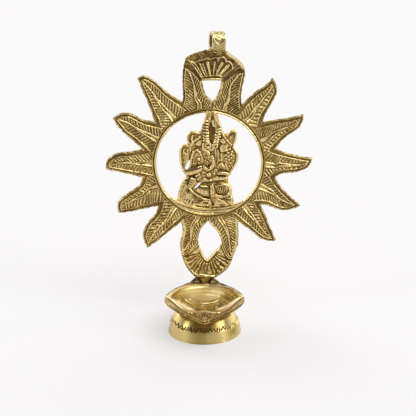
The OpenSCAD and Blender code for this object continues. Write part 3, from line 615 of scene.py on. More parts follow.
# The inner side from the ring, past both ends of the window, to the tip: distance of the
# bead and strength of the rim
CREST_INNER = [(0.9, 0), (1.6, 0.6), (2.4, 1), (2.5, 1), (2.2, 0), (3.0, 0), (3.0, 0)]
FOOT_INNER = [(0.8, 0), (0.8, 0.4), (1.1, 0.6), (1.1, 0.6), (0.8, 0), (0.8, 0), (0.8, 0)]
# Angles where the two leaves of the crest and of the foot part
CREST_PART = 0.5
FOOT_PART = 177.3


def make_window_leaves(leaves, to_places, part, inner_rims, outer_side, shared_look, material):
    """The two leaves beside a window, which part at an angle on the ring."""
    for name, valley, (out, window, seam), outer_first, own_look in leaves:
        angle = VALLEYS[valley]
        outer = side_from_valley(angle, to_places(out))
        window = smooth(to_places(window))
        inner = side_from_ring(part, joined(window, smooth(to_places(seam))))
        start = math.hypot(*(window[0] - inner[0]))
        end = start + path_length(window)
        runs = [0, start, start + 3, end - 1, end + 2, end + 6, 200]
        inner_side = [[run, *rim] for run, rim in zip(runs, inner_rims)]
        both = [(outer, stretched(outer), outer_side, angle), (inner, inner, inner_side, part)]
        if not outer_first:
            both.reverse()
        (left, left_edge, left_side, low), (right, right_edge, right_side, high) = both
        high = high if high > low else high + 360
        look = {**shared_look, **own_look, "edges": (left_edge, right_edge),
                "left_side": left_side, "right_side": right_side}
        leaf_piece(name, left, right, (low, high), look, material)


# Fans: the rods and scallops that fill the crest above and the foot below the windows

def fan_grid(inner, outer, seam_a, seam_b, rows=110, cols=190):
    """Places on a four-sided patch between an inner edge, an outer edge and two seams."""
    down, across = edge_points(rows), np.linspace(0, 1, cols)
    low, high = along(inner, across)[None], along(outer, across)[None]
    a, b = along(seam_a, down)[:, None], along(seam_b, down)[:, None]
    s, t = down[:, None, None], across[None, :, None]
    corners = ((1 - s) * ((1 - t) * low[:, :1] + t * low[:, -1:])
               + s * ((1 - t) * high[:, :1] + t * high[:, -1:]))
    return (1 - s) * low + s * high + (1 - t) * a + t * b - corners


# Raised lines of the crest's fan: half width, height of the top, points (a, b). The
# first four are the scallops that the rods end at.
CREST_LINES = [
    [0.72, 3.3, [(-15.9, 81.6), (-14.9, 83.1), (-12.9, 84), (-10, 85), (-7.4, 86.1), (-5.2, 86.7)]],
    [0.72, 3.3, [(-5.2, 86.5), (-3.2, 85.9), (-0.6, 87), (1.4, 87.4), (2.6, 86.8)]],
    [0.72, 3.3, [(2.9, 84.4), (3.2, 86.2), (4.6, 87.7), (6.8, 87.9), (8.4, 87), (9.3, 85.2)]],
    [0.72, 3.25, [(9.3, 84.6), (11.4, 84.7), (13.4, 83.2), (14.6, 81.4), (14.8, 79.6)]],
    [0.55, 3.1, [(-20.4, 84), (-15.7, 79.3), (-9.6, 71)]],
    [0.55, 3.15, [(-18.2, 83), (-14.6, 80.9), (-8.4, 71.3)]],
    [0.5, 3.1, [(19.6, 80.4), (13.6, 75.7), (9, 71.1)]],
    [0.5, 3.0, [(16.8, 80.6), (12, 76), (8, 71.9)]],
    [0.45, 3.0, [(-9.6, 70.2), (-7.1, 71.5), (-2.9, 72.4), (4.3, 72.7), (7.9, 71.3)]],
    [0.45, 2.9, [(8.4, 79.4), (3.3, 73.2)]],
    [0.45, 2.9, [(13.2, 78.6), (6.6, 72.7)]],
    [0.42, 2.9, [(1.6, 78.6), (3.0, 73.4)]]]
SCALLOPS = 4
# Rods with a round head and a tapering shaft: half width of the head, head, foot
CREST_DROPS = [
    [0.95, (-11.1, 81.4), (-6.4, 71.8)], [0.85, (-9.0, 81.9), (-5.0, 72.2)],
    [1.55, (-5, 82.3), (-2.5, 72.8)], [1.0, (0.5, 83.4), (-0.2, 72.9)],
    [1.45, (6.1, 82.8), (2.1, 73.1)], [1.45, (11.1, 81.2), (5, 73)]]
DROP_TOP = 3.15
DROP_TAPER = 0.42


def draw_line(height, grid, half, top, points):
    """Raises a smooth round line over the relief."""
    path = smooth(points, 6) if len(points) > 2 else np.array(points, float)
    ridge = bump(gap_to(grid, path), half)
    return lay_over(height, ridge, top - 1.2 * (1 - ridge))


def draw_drop(height, grid, half, head, foot):
    """Raises a drop with a round head and a tapering shaft."""
    axis = np.subtract(foot, head)
    away = grid - np.array(head)
    run = np.clip(away @ axis / math.hypot(*axis) ** 2, 0, 1)
    gap = np.linalg.norm(away - run[..., None] * axis, axis=-1)
    ridge = bump(gap, half * (1 - DROP_TAPER * run))
    return lay_over(height, ridge, DROP_TOP - 1.3 * (1 - ridge))


def under_scallops(grid):
    """Which places lie under the line of the crest's scallops."""
    over = np.vstack([smooth(line[2], 6) for line in CREST_LINES[:SCALLOPS]])
    order = np.argsort(over[:, 0])
    return grid[..., 1] < np.interp(grid[..., 0], over[order, 0], over[order, 1], left=80, right=78)


def make_crest_fan(material):
    """The crest's top: drops and scallops over the window, under a plain band."""
    top = joined(crest_path(CREST_TOP_LEFT), crest_path(CREST_TOP_RIGHT))
    window = crest_path(CREST_WINDOW_TOP)
    seams = [crest_path(CREST_SEAM_LEFT), crest_path(CREST_SEAM_RIGHT)]
    edge = nibbled(top, 36, 0.22)
    grid = fan_grid(window, edge, *seams)
    e_top, e_window = gap_to(grid, edge), gap_to(grid, window)
    under = under_scallops(grid)

    # The plain band above the scallops, with a rounded rim on its right half
    height = np.where(under, 1.5, 2.05 + 0.55 * step_up(4.6, 0.7, e_top))
    right_rim = step_up(6, 10, grid[..., 0])
    rim = (3.1 - 0.9 * (1 - bump(e_top - 1.0, 1.0))) * right_rim
    height = np.maximum(height, rim * (np.abs(e_top - 1.0) < 0.95))
    height = height - 0.8 * worn_edge(e_top, 0.6)
    for half, line_top, points in CREST_LINES:
        height = draw_line(height, grid, half, line_top, points)
    for half, head, foot in CREST_DROPS:
        height = draw_drop(height, grid, half, head, foot)
    # The bead round the window, with a groove outside it, and the seams' grooves
    height = np.where(e_window < 2.15, 3.4 - 1.3 * (1 - bump(e_window - 1.05, 1.15)), height)
    height = np.where((e_window > 2.15) & (e_window < 2.9), np.minimum(height, 1.4), height)
    for seam in seams:
        height = np.where(gap_to(grid, seam) < 0.7, np.minimum(height, 1.6), height)
    height = height + 0.1 * noise(grid, 0.9, 5) + 0.12 * noise(grid, 4, 6)
    height = height + 0.45 * noise(grid, 1.1, 7) * ~under * (height < 2.75)

    patina = step_up(2.8, 1.5, height) * 0.88 + 0.22 * noise(grid, 3, 8)
    # The plain band above the scallops is dark brown, partly patina and partly painted shade. Near the top
    # edge of its right half the rim is kept lighter: a painted highlight.
    band = np.where(under | (height > 2.75), 0, 1) * (1 - 0.7 * right_rim * (e_top < 2.2))
    patina = np.maximum(patina, band * (0.76 + 0.6 * noise(grid, 1.5, 9)))
    relief_solid("crest_fan", grid, height, patina, material)


# The foot's fan: degrees from rod to rod, how far below the leaves' ends the tongue's
# sides turn in, and the half width of the band across it
ROD_STEP = 11.2
TONGUE_DROP = 2.2
BAND_HALF = 7.6


def tongue_floor(a):
    """The place under a on the plane of the bowl's rim, in frame coordinates."""
    b = (RIM_Z - RING_CENTRE[2] + a * math.sin(LEAN)) / math.cos(LEAN)
    return np.array([a, b])


def foot_rods(grid, e_edge, e_window, e_seams):
    """Heights of the fan of rods, and of the smooth wedges beside its seams."""
    r, angle = around(grid, foot_places([FOOT_FAN])[0])
    angle = np.mod(angle, 360) - 180
    swirl = 0.028 * (r - 14) * np.sign(angle)
    wobble = 0.34 * noise(grid, 3.4, 51) + swirl
    ridge = step_up(0.1, 0.8, ripple(angle / ROD_STEP + wobble)) * (0.75 + 0.5 * noise(grid, 2.4, 52))
    height = 1.75 + 1.25 * ridge * step_up(1.6, 2.6, e_edge) * step_up(2.1, 3.0, e_window)
    share = e_edge / (e_edge + e_window + 0.01)
    wedge = np.maximum(*[step_up(0.3, -0.5, e - wide * share) for e, wide in zip(e_seams, (6.4, 7.0))])
    return height * (1 - wedge) + (2.6 + 0.25 * noise(grid, 4.0, 53)) * wedge


def foot_edges(height, grid, e_edge, e_window, e_seams):
    """Lays the borders over the rods: a bead on the left of the free edge, a rounded
    edge on its right, and beads beside the window and the seams."""
    on_left = step_up(4, 0, grid[..., 0])
    wide_edge = 2.75 - 0.7 * (1 - bump(e_edge - 1.1, 1.4))
    rounded = np.maximum(height * (e_edge > 1.2), wide_edge) * (1 - on_left) + height * on_left
    height = np.where(e_edge < 2.2, rounded, height)
    line = bump(e_edge - 2.0, 0.6) * on_left
    height = lay_over(height, line, 1.95 + 1.25 * line)
    height = np.where((e_edge < 1.2) & (on_left > 0.5), 2.3, height) - 0.6 * worn_edge(e_edge, 0.6)
    height = np.where(e_window < 1.5, 1.9 + 1.25 * bump(e_window - 0.75, 0.8), height)
    for e in e_seams:
        height = np.where(e < 2.1, np.minimum(height, 1.45), height)
        height = np.maximum(height, (1.9 + 1.4 * bump(e - 0.75, 0.75)) * (np.abs(e - 0.75) < 0.75))
    return height


def make_foot_fan(material):
    """The foot: rods fanned out below the window, and the tongue down to the bowl."""
    tongue_x = TONGUE_SHARE * FOOT_HALF_W
    left_x, right_x = tongue_x - TONGUE_W / 2, tongue_x + TONGUE_W / 2
    low_left, low_right = foot_path(FOOT_LOW_LEFT), foot_path(FOOT_LOW_RIGHT)
    left_end, right_end = low_left[-1], low_right[0]
    tongue = np.array([left_end, [left_x, left_end[1] - TONGUE_DROP], tongue_floor(left_x),
                       tongue_floor(right_x), [right_x, right_end[1] - TONGUE_DROP], right_end])
    window = joined(foot_path(FOOT_WINDOW_LOW_LEFT), foot_path(FOOT_WINDOW_LOW_RIGHT)[::-1])
    seams = foot_path(FOOT_SEAM_LEFT), foot_path(FOOT_SEAM_RIGHT)
    grid = fan_grid(window, joined(low_left, tongue, low_right), *seams, cols=230)

    free_edge = joined(low_left, np.array([left_end, right_end]), low_right)
    e_edge, e_window = gap_to(grid, free_edge), gap_to(grid, window)
    e_seams = [gap_to(grid, seam) for seam in seams]
    height = foot_rods(grid, e_edge, e_window, e_seams)
    height = foot_edges(height, grid, e_edge, e_window, e_seams)

    # The tongue with its raised lobe, below a band across the fan
    from_middle = grid[..., 0] - tongue_x
    drop_by = left_end[1] - grid[..., 1]
    below = grid[..., 1] < left_end[1]
    lobe = bump(from_middle, np.interp(drop_by, [0, 5.5], [6.0, 2.8]))
    height = np.where(below, 1.1 + 1.7 * lobe + 0.2 * noise(grid, 1.4, 55), height)
    band = bump(grid[..., 1] - (left_end[1] + 0.9), 1.15) * (np.abs(from_middle) < BAND_HALF)
    height = lay_over(height, band, 1.9 + 1.35 * band, 0.02)
    height = height + 0.08 * noise(grid, 0.9, 5) + 0.12 * noise(grid, 6, 6)
    patina = step_up(2.7, 1.5, height) * 0.8 + 0.2 * noise(grid, 4, 8)
    tongue_patina = 1.0 - 0.65 * step_up(0.3, 0.95, lobe) + 0.2 * noise(grid, 1.8, 56)
    relief_solid("foot_fan", grid, height, np.where(below, tongue_patina, patina), material)


# Sculpted pieces: a field sampled on a grid, negative inside, and its zero surface

# The photograph looks down on the frame, so a place read there at depth d is lower than
# it is by this slope for each millimetre in front of the depth it was read at
VIEW_SLOPE = 0.33
READ_DEPTH = 3.2


def places(points, depth):
    """Table points (a, b), or (a, b, own depth), as places (a, b, d)."""
    rows = []
    for p in points:
        d = p[2] if len(p) > 2 else depth
        rows.append([p[0], p[1] + VIEW_SLOPE * (d - READ_DEPTH), d])
    return np.array(rows, float)


def blend_min(a, b, k):
    """The smaller of two fields, with a round fillet about k wide where they meet."""
    h = np.clip(0.5 + 0.5 * (b - a) / k, 0, 1)
    return b + (a - b) * h - k * h * (1 - h)


class Clay:
    """A block of clay that tubes and pads are added to and cut from."""

    # Values of the field in an empty block and of a tube before its first part
    EMPTY = 5.0
    FAR = 9.0

    def __init__(self, low, high, cell):
        self.cell = cell
        self.axes = [np.arange(a, b + cell, cell) for a, b in zip(low, high)]
        self.field = np.full([len(x) for x in self.axes], self.EMPTY, np.float32)

    def block(self, low, high):
        """The slices of the field between two corners, and their coordinates."""
        slices = []
        for axis, a, b in zip(self.axes, low, high):
            slices.append(slice(max(np.searchsorted(axis, a) - 1, 0), np.searchsorted(axis, b) + 1))
        return tuple(slices), [axis[s] for axis, s in zip(self.axes, slices)]

    def put(self, slices, part, blend, cut):
        """Adds a part's field to a block of the clay's, or cuts it out."""
        here = self.field[slices]
        if cut:
            self.field[slices] = -blend_min(-here, part, blend)
        else:
            self.field[slices] = blend_min(here, part, blend)

    def keep(self, part):
        """Cuts away all that lies outside a part's field."""
        self.field = np.maximum(self.field, part).astype(np.float32)

    def tube(self, path, radius, blend=0.5, cut=False, flat=1.0):
        """A tube along a path of places. radius is one number or one for each place."""
        path = np.asarray(path, float)
        radii = np.broadcast_to(np.asarray(radius, float), len(path))
        reach = radii.max() + blend * 1.5 + self.cell * 2
        slices, (a, b, d) = self.block(path.min(0) - reach, path.max(0) + reach)
        best = np.full([len(a), len(b), len(d)], self.FAR, np.float32)
        ends = list(zip(path[:-1], path[1:], radii[:-1], radii[1:]))
        for p, q, rp, rq in ends or [(path[0], path[0], radii[0], radii[0])]:
            step = q - p
            size = max(float(step @ step), 1e-9)
            da, db, dd = a[:, None, None] - p[0], b[None, :, None] - p[1], d[None, None, :] - p[2]
            t = np.clip((da * step[0] + db * step[1] + dd * step[2]) / size, 0, 1)
            off = da - t * step[0], db - t * step[1], (dd - t * step[2]) * flat
            gap = np.sqrt(off[0] ** 2 + off[1] ** 2 + off[2] ** 2)
            best = np.minimum(best, gap - (rp + (rq - rp) * t))
        self.put(slices, best, blend, cut)

    def ball(self, place, radius, **how):
        """A ball about a place."""
        self.tube([place], radius, **how)

    def line(self, points, depth, radius, **how):
        """A tube along a smooth curve through table points. radius is one number or
        several, spread evenly along the line."""
        path = places(points, depth)
        given = np.atleast_1d(np.asarray(radius, float))
        radii = np.interp(np.linspace(0, 1, len(path)), np.linspace(0, 1, len(given)), given)
        dense = np.column_stack([path, radii])
        if len(path) > 2:
            dense = smooth(dense, 4)
        self.tube(dense[:, :3], dense[:, 3], **how)

    def pad(self, outline, low, high, rounding=1.0, blend=0.6, cut=False):
        """A cushion with a smooth closed outline, from depth low to high."""
        ring = smooth(places(outline + [outline[0]], high)[:, :2], 5)
        reach = 2.0
        slices, (a, b, d) = self.block([*(ring.min(0) - reach), low - reach],
                                       [*(ring.max(0) + reach), high + reach])
        ab = np.stack(np.meshgrid(a, b, indexing="ij"), -1)
        gap = gap_to(ab, ring)
        side = np.where(points_inside(ab, ring), -gap, gap)[:, :, None] + rounding
        deep = (np.abs(d - (low + high) / 2) - (high - low) / 2)[None, None, :] + rounding
        part = (np.hypot(np.maximum(side, 0), np.maximum(deep, 0))
                + np.minimum(np.maximum(side, deep), 0) - rounding)
        self.put(slices, part, blend, cut)

    def roughen(self, amount, size, seed, skin=1.5):
        """Adds noise to the surface and to what lies within the skin about it."""
        i, j, k = np.nonzero(np.abs(self.field) < skin)
        a, b, d = self.axes
        points = np.stack([a[i], b[j], d[k]], -1)
        self.field[i, j, k] += amount * noise(points, size, seed)


def points_inside(points, ring):
    """Whether each point lies inside a closed ring of places."""
    x, y = points[..., 0], points[..., 1]
    inside = np.zeros(x.shape, bool)
    for (x0, y0), (x1, y1) in zip(ring, np.roll(ring, -1, 0)):
        if y0 != y1:
            inside ^= ((y0 > y) != (y1 > y)) & (x < (x1 - x0) * (y - y0) / (y1 - y0) + x0)
    return inside


def surface_net(field, low, cell):
    """Vertices and quads of the zero surface of a sampled field."""
    inside = field < 0
    corners = np.array(list(np.ndindex(2, 2, 2)))
    shape = np.array(field.shape) - 1
    count = sum(inside[i:i + shape[0], j:j + shape[1], k:k + shape[2]].astype(np.int8)
                for i, j, k in corners)
    cells = np.argwhere((count > 0) & (count < 8))
    number = np.full(shape, -1)
    number[tuple(cells.T)] = np.arange(len(cells))
    values = np.stack([field[tuple((cells + c).T)] for c in corners], -1)
    # A vertex in each cell, at the middle of the places where the cell's edges cross zero
    total = np.zeros((len(cells), 3))
    hits = np.zeros(len(cells))
    for m in range(8):
        for n in range(m + 1, 8):
            if np.abs(corners[m] - corners[n]).sum() != 1:
                continue
            fm, fn = values[:, m], values[:, n]
            cross = (fm < 0) != (fn < 0)
            t = np.where(cross, fm / np.where(cross, fm - fn, 1), 0)
            total += np.where(cross[:, None], corners[m] + t[:, None] * (corners[n] - corners[m]), 0)
            hits += cross
    verts = np.array(low) + cell * (cells + total / hits[:, None])
    # A quad across each grid edge that crosses zero
    quads = []
    for axis in range(3):
        u, v = (axis + 1) % 3, (axis + 2) % 3
        here = np.moveaxis(inside, axis, 0)
        change = np.argwhere(np.moveaxis(here[:-1] != here[1:], 0, axis))
        keep = (change[:, u] > 0) & (change[:, v] > 0) & (change[:, u] < shape[u]) & (change[:, v] < shape[v])
        change = change[keep]
        quad = []
        for du, dv in ((-1, -1), (0, -1), (0, 0), (-1, 0)):
            cell_at = change.copy()
            cell_at[:, u] += du
            cell_at[:, v] += dv
            quad.append(number[tuple(cell_at.T)])
        quad = np.stack(quad, -1)
        outwards = inside[tuple(change.T)]
        quads.append(np.where(outwards[:, None], quad, quad[:, ::-1]))
    return verts, np.vstack(quads)


# Directions in which the field round a place is looked at for hollows
LOOK_AROUND = [(1, 0, 0), (-1, 0, 0), (0, 1, 0), (0, -1, 0), (0, 0, 1), (0, 0, -1),
               (1, 1, 0), (-1, 1, 0), (1, -1, 0), (-1, -1, 0)]


def hollowness(clay, verts, reach):
    """How far a place lies in a hollow: the field, averaged around it, is under what it
    is over a flat."""
    total = np.zeros(len(verts))
    index = [(verts[:, k] - clay.axes[k][0]) / clay.cell for k in range(3)]
    for step in LOOK_AROUND:
        at = [np.clip(np.rint(i + reach * s / clay.cell).astype(int), 0, n - 1)
              for i, s, n in zip(index, step, clay.field.shape)]
        total += clay.field[tuple(at)]
    return step_up(0.12, -0.42, total / len(LOOK_AROUND) / reach)


def clay_piece(name, clay, material, place=on_frame, shade_scale=1.0, reaches=(0.8,)):
    """Makes the piece of a block of clay, with patina where the surface is hollow."""
    verts, quads = surface_net(clay.field, [axis[0] for axis in clay.axes], clay.cell)
    patina = np.max([hollowness(clay, verts, reach) for reach in reaches], 0) * shade_scale
    behind = step_up(1.4, 0.8, verts[:, 2] - verts[:, 2].min())
    patina = patina * (1 - behind) + behind * (0.35 + 0.25 * noise(verts, 3, 20))
    add_piece(name, place(verts), [quads], material, patina, crease=75)


# The figure, read in places (a, b) seen from slightly above

# Cushions: low, high, rounding, outline
FIGURE_PADS = [
    # crown, head, upper left hand, left lobe, ear, upper right hand, leaf and right lobe
    (0.5, 4.7, 1.6, [(-1, 44.3), (-4.3, 43), (-5.2, 36.4), (-6.7, 32), (-8, 27), (-8.6, 22), (-7.5, 15),
         (0, 9), (8, 15), (9.5, 22), (9.4, 28.5), (7.1, 35), (4.9, 41.7), (3.4, 44.3)]),
    (0.5, 4.0, 1.0, [(-14, 16), (-8, 18), (0, 16), (8, 18), (14, 18), (15, 8), (14, -2), (9, -8),
         (-3, -9), (-13, -8), (-14.4, -3), (-13.6, 4), (-13, 9)]),
    (0.6, 4.4, 1.4, [(-8, 16), (-8, 25.4), (-12, 26.1), (-15.1, 26.6), (-17.9, 24.5), (-18.8, 21.4),
         (-18.2, 18.3), (-16.7, 15.5), (-13, 14)]),
    (0.6, 4.2, 1.3, [(-14, 15), (-19, 15.4), (-22.7, 13.6), (-24.2, 9), (-24.1, 3.6), (-23, -2),
         (-20.6, -8), (-17, -10), (-14, -6), (-17.5, -3.4), (-14.6, 4)]),
    (0.6, 4.4, 1.3, [(-15.5, -6), (-15.6, 0), (-14.4, 5), (-12.6, 10.5), (-10.2, 12), (-7, 11), (-5, 4),
         (-6, -6)]),
    (0.6, 5.6, 2.0, [(8, 17.4), (12, 18), (15.4, 17), (15, 12.4), (13, 9.6), (9, 9.4), (7.6, 13)]),
    (0.6, 4.4, 1.4, [(10, 18), (12.4, 24), (13.4, 25.4), (16.1, 28.6), (19.9, 29.2), (21.3, 25.8),
         (21, 20.8), (19.4, 16.6), (15, 14)]),
    (0.6, 4.0, 1.3, [(13, 15), (18, 16.4), (20.6, 13.6), (23.8, 8), (22.9, 1.4), (19.9, -4.6), (17, -10),
         (12, -9), (11.5, 0), (12, 10)]),
    # chest and lap
    (0.6, 5.6, 1.6, [(-20, -7), (-15, -4.6), (-8, -4), (0, -6), (6, -4), (14, -5.5), (17.3, -8.5),
         (16.2, -11.5), (15.6, -15), (0, -17), (-9, -16), (-16, -13.5), (-17.6, -11)]),
    (0.6, 6.2, 1.8, [(-14, -14.5), (-17.6, -12.5), (-20.6, -17), (-22.6, -22), (-23.9, -30), (-23, -36),
         (-10, -38.4), (0, -39), (10, -38.6), (19, -36), (21.8, -32), (20.4, -27), (19.8, -21),
         (18.4, -17), (12, -14), (0, -15)]),
    # right chest, middle of the chest, patch by the upper left hand
    (0.6, 6.7, 1.7, [(4.6, -9.6), (14, -9.4), (15.6, -12.2), (12, -14), (4, -14.4)]),
    (0.6, 6.4, 1.3, [(-4, -12.8), (3, -13), (3, -15.4), (-5, -15.8)]),
    (0.6, 5.4, 1.9, [(-12, 20), (-6.4, 20.8), (-6, 15.5), (-8, 13.4), (-12, 15)]),
    (0.6, 7.0, 3.0, [(-18.6, -15.6), (-13.5, -19), (-12, -24), (-8.6, -28), (-6.6, -32), (-8, -37),
         (-20, -37), (-23, -33), (-22.4, -25)]),
    (0.6, 6.9, 2.6, [(6.4, -27), (13, -26.6), (20, -26), (21.8, -31), (20, -36.4), (6.4, -37)]),
    # backing between the left lobes and by the leaf
    (0.6, 3.8, 0.9, [(-16.5, 17), (-10, 18), (-10, 6), (-14, 4.6), (-16, 9)]),
    (0.6, 4.0, 0.9, [(7, 27.6), (10.2, 27), (13.6, 24), (15, 18), (8, 17)])]
# Rounded masses: depth of the middle, radius, flattening, points
FIGURE_LUMPS = [
    (5.0, [4.2, 4.9, 4.4], 1.6, [(-6.0, -21.8), (-3.0, -22.4), (0.4, -22.6)]),
    (5.6, [3.2, 3.9, 3.4], 1.5, [(-5.4, -22.4), (-2.4, -24.0), (0.4, -24.8)]),
    (5.2, [2.0, 3.3, 3.4, 2.2], 1.35, [(-17.4, -8.4), (-13.6, -7.4), (-9, -5.6), (-6.4, -3.6)]),
    (4.2, [4.4, 5.2, 4.6], 1.15, [(-15.8, -25), (-15.2, -30), (-12, -33.4)]),
    (5.4, [2.0, 2.6, 2.2], 1.0, [(-8, -33.6), (-3, -34.2), (1.2, -33.6)]),
    (3.9, [3.4, 4.2, 3.6], 1.05, [(9.6, -31.8), (14, -31.2), (18, -30.4)])]

# Raised lines: depth of the middle, radius, blend, points
FIGURE_LINES = [
    # crown edges
    (5.5, [0.9, 1.05, 0.9], 0.3, [(1.9, 43.6), (3.2, 39.8), (4.5, 36)]),
    (4.9, 0.8, 0.35, [(4.5, 36), (6.3, 33.4), (8.2, 31.2)]),
    (4.8, 0.75, 0.35, [(-3.4, 43.6), (-4.3, 38.6), (-5.0, 36.4)]),
    (4.7, 0.55, 0.3, [(-6.2, 33), (-7.2, 28.6), (-7.8, 25)]),
    # upper left hand
    (4.7, 0.95, 0.35, [(-8.4, 24.7), (-12, 25.4), (-15, 25.7), (-17.2, 23.9), (-18, 21.2), (-17.5, 18.4),
         (-16, 16)]),
    (5.0, 1.1, 0.35, [(-14.3, 22.6), (-14.4, 19.4)]),
    (5.4, [1.1, 1.5, 1.5], 0.4, [(-15, 14.4), (-12.8, 18.6), (-8.4, 22)]),
    # left lobe
    (4.3, 0.95, 0.35, [(-16.4, 14.2), (-20, 14), (-22.6, 12), (-23.2, 8.2), (-22.7, 3.2), (-21.7, -2.4),
         (-19.5, -7.4)]),
    (4.8, [0.9, 1.1, 0.9], 0.3, [(-20.5, 11.2), (-21, 9.2), (-19.4, 7.5), (-18.6, 7)]),
    (4.6, 0.8, 0.3, [(-17.6, 10.8), (-17, 6.6), (-16.8, 3.6)]),
    # left ear: outer and inner bands and the lumps within
    (5.7, [0.8, 0.95, 1.05, 1.1, 1.1, 1.05, 0.95, 0.8], 0.3, [(-15.2, -3.4), (-14.3, 3), (-13.5, 6.6),
         (-12.2, 10), (-10.4, 11.2), (-8, 9.4), (-6, 6), (-5.2, 1.5)]),
    (5.2, 0.7, 0.25, [(-12.3, -0.4), (-12.1, 3.5), (-11.3, 7), (-10.1, 8.9), (-8.4, 7), (-7.1, 4.4)]),
    (5.0, 1.3, 0.4, [(-9, 3.9), (-7.6, 3.1)]),
    (5.1, 1.1, 0.3, [(-8.3, 0.3), (-7.8, 0)]),
    # trunk, its curled end, and the strands beside it
    (6.3, [1.0, 1.15, 1.2, 1.2, 1.1, 0.9], 0.35, [(-5.5, 16.4), (-5.2, 12.8), (-3, 10.6), (-0.9, 9.4),
         (0.2, 7.2), (-0.2, 5.4)]),
    (7.5, [0.9, 1.25, 1.5, 1.55, 1.45, 1.25, 0.8], 0.35, [(2.3, 6.6), (3.5, 3.5), (3.6, -0.3),
         (2.1, -3.4), (-0.7, -4.9), (-2.9, -3.9), (-4, -1.9)]),
    (5.7, 0.7, 0.3, [(4.5, 12.6), (5.3, 8), (5.6, 3)]),
    (5.3, 0.7, 0.3, [(6.6, 12), (7.2, 6), (7, 0)]),
    # upper right: the slanting chain, the palm, the leaf
    (5.5, 0.65, 0.25, [(8.6, 27.6), (11.8, 22.8), (14.3, 19.6), (17.4, 16.6)]),
    (5.0, 2.2, 0.5, [(10, 19.8), (11, 19.2)]),
    (4.7, 0.95, 0.35, [(13.6, 24.2), (16.3, 27.4), (19.3, 28), (20.4, 25.6), (20.2, 20.8), (18.8, 17.4)]),
    (4.9, [0.7, 0.95, 0.6], 0.3, [(15.9, 21.6), (17, 23.8), (18.2, 25.4)]),
    # right lobe
    (4.3, 0.95, 0.35, [(18.8, 15), (21.4, 11.4), (22.7, 7.4), (21.8, 1.6), (18.9, -4), (16.3, -8.8)]),
    (5.6, 1.0, 0.3, [(9.9, 8.4), (10.3, 3.2)]),
    (5.4, 0.9, 0.3, [(9.2, 0.8), (8.6, -2)]),
    (5.3, 0.85, 0.3, [(13.5, 0.7), (14.8, -2), (16, -4.6)]),
    (6.3, 0.9, 0.3, [(7, -2.2), (9.8, 0.5), (12.2, -1.6)]),
    (5.4, 1.7, 0.5, [(8.6, -7.5), (12, -7.3), (15.2, -7.7)]),
    # left shoulder, outer arm, bangles, elbow
    (4.9, [1.6, 2.3, 2.3, 1.5], 0.5, [(-18.6, -7.8), (-14, -6.6), (-9, -4.8), (-6.2, -3)]),
    (5.3, [1.2, 1.3, 1.4, 1.5, 1.4], 0.4, [(-17, -12.8), (-19.2, -17), (-20.8, -21.4), (-22, -26.8),
         (-22.2, -31.4)]),
    (7.2, 0.95, 0.2, [(-13.4, -13.2), (-10.4, -14.1)]),
    (7.2, 0.95, 0.2, [(-13.9, -15), (-10.4, -15.9)]),
    (7.2, 0.95, 0.2, [(-14.4, -16.8), (-11.2, -17.7)]),
    (7.1, 0.95, 0.2, [(-14.9, -18.6), (-12, -19.5)]),
    (5.8, 2.0, 0.4, [(-13, -14), (-14, -20.6)]),
    # hand on the belly, oval frame, edge of the left thigh, crossed foot, right shin
    (7.2, [1.7, 2.2, 2.0], 0.3, [(3.6, -18.8), (4.2, -22.5), (4.4, -26.6)]),
    (7.8, 1.3, 0.3, [(7, -18.8), (10, -17.5), (14, -17.3), (17.4, -18.6), (18.8, -21.6), (17.3, -25),
         (13.6, -26.8), (9, -27.3), (6.7, -26.2)]),
    (8.4, 0.8, 0.25, [(-14.4, -21.6), (-12.5, -24), (-10.7, -25.3), (-8.2, -27), (-5, -28.4),
         (-2, -30.1), (2.4, -30.7)]),
    (8.4, [0.9, 1.05, 1.0, 0.8], 0.25, [(-2.2, -31.8), (1.4, -31.6), (2.6, -33.6), (0.6, -35.8)]),
    (8.4, 0.75, 0.25, [(8.4, -29.4), (13, -31.4), (16.4, -33.6)])]

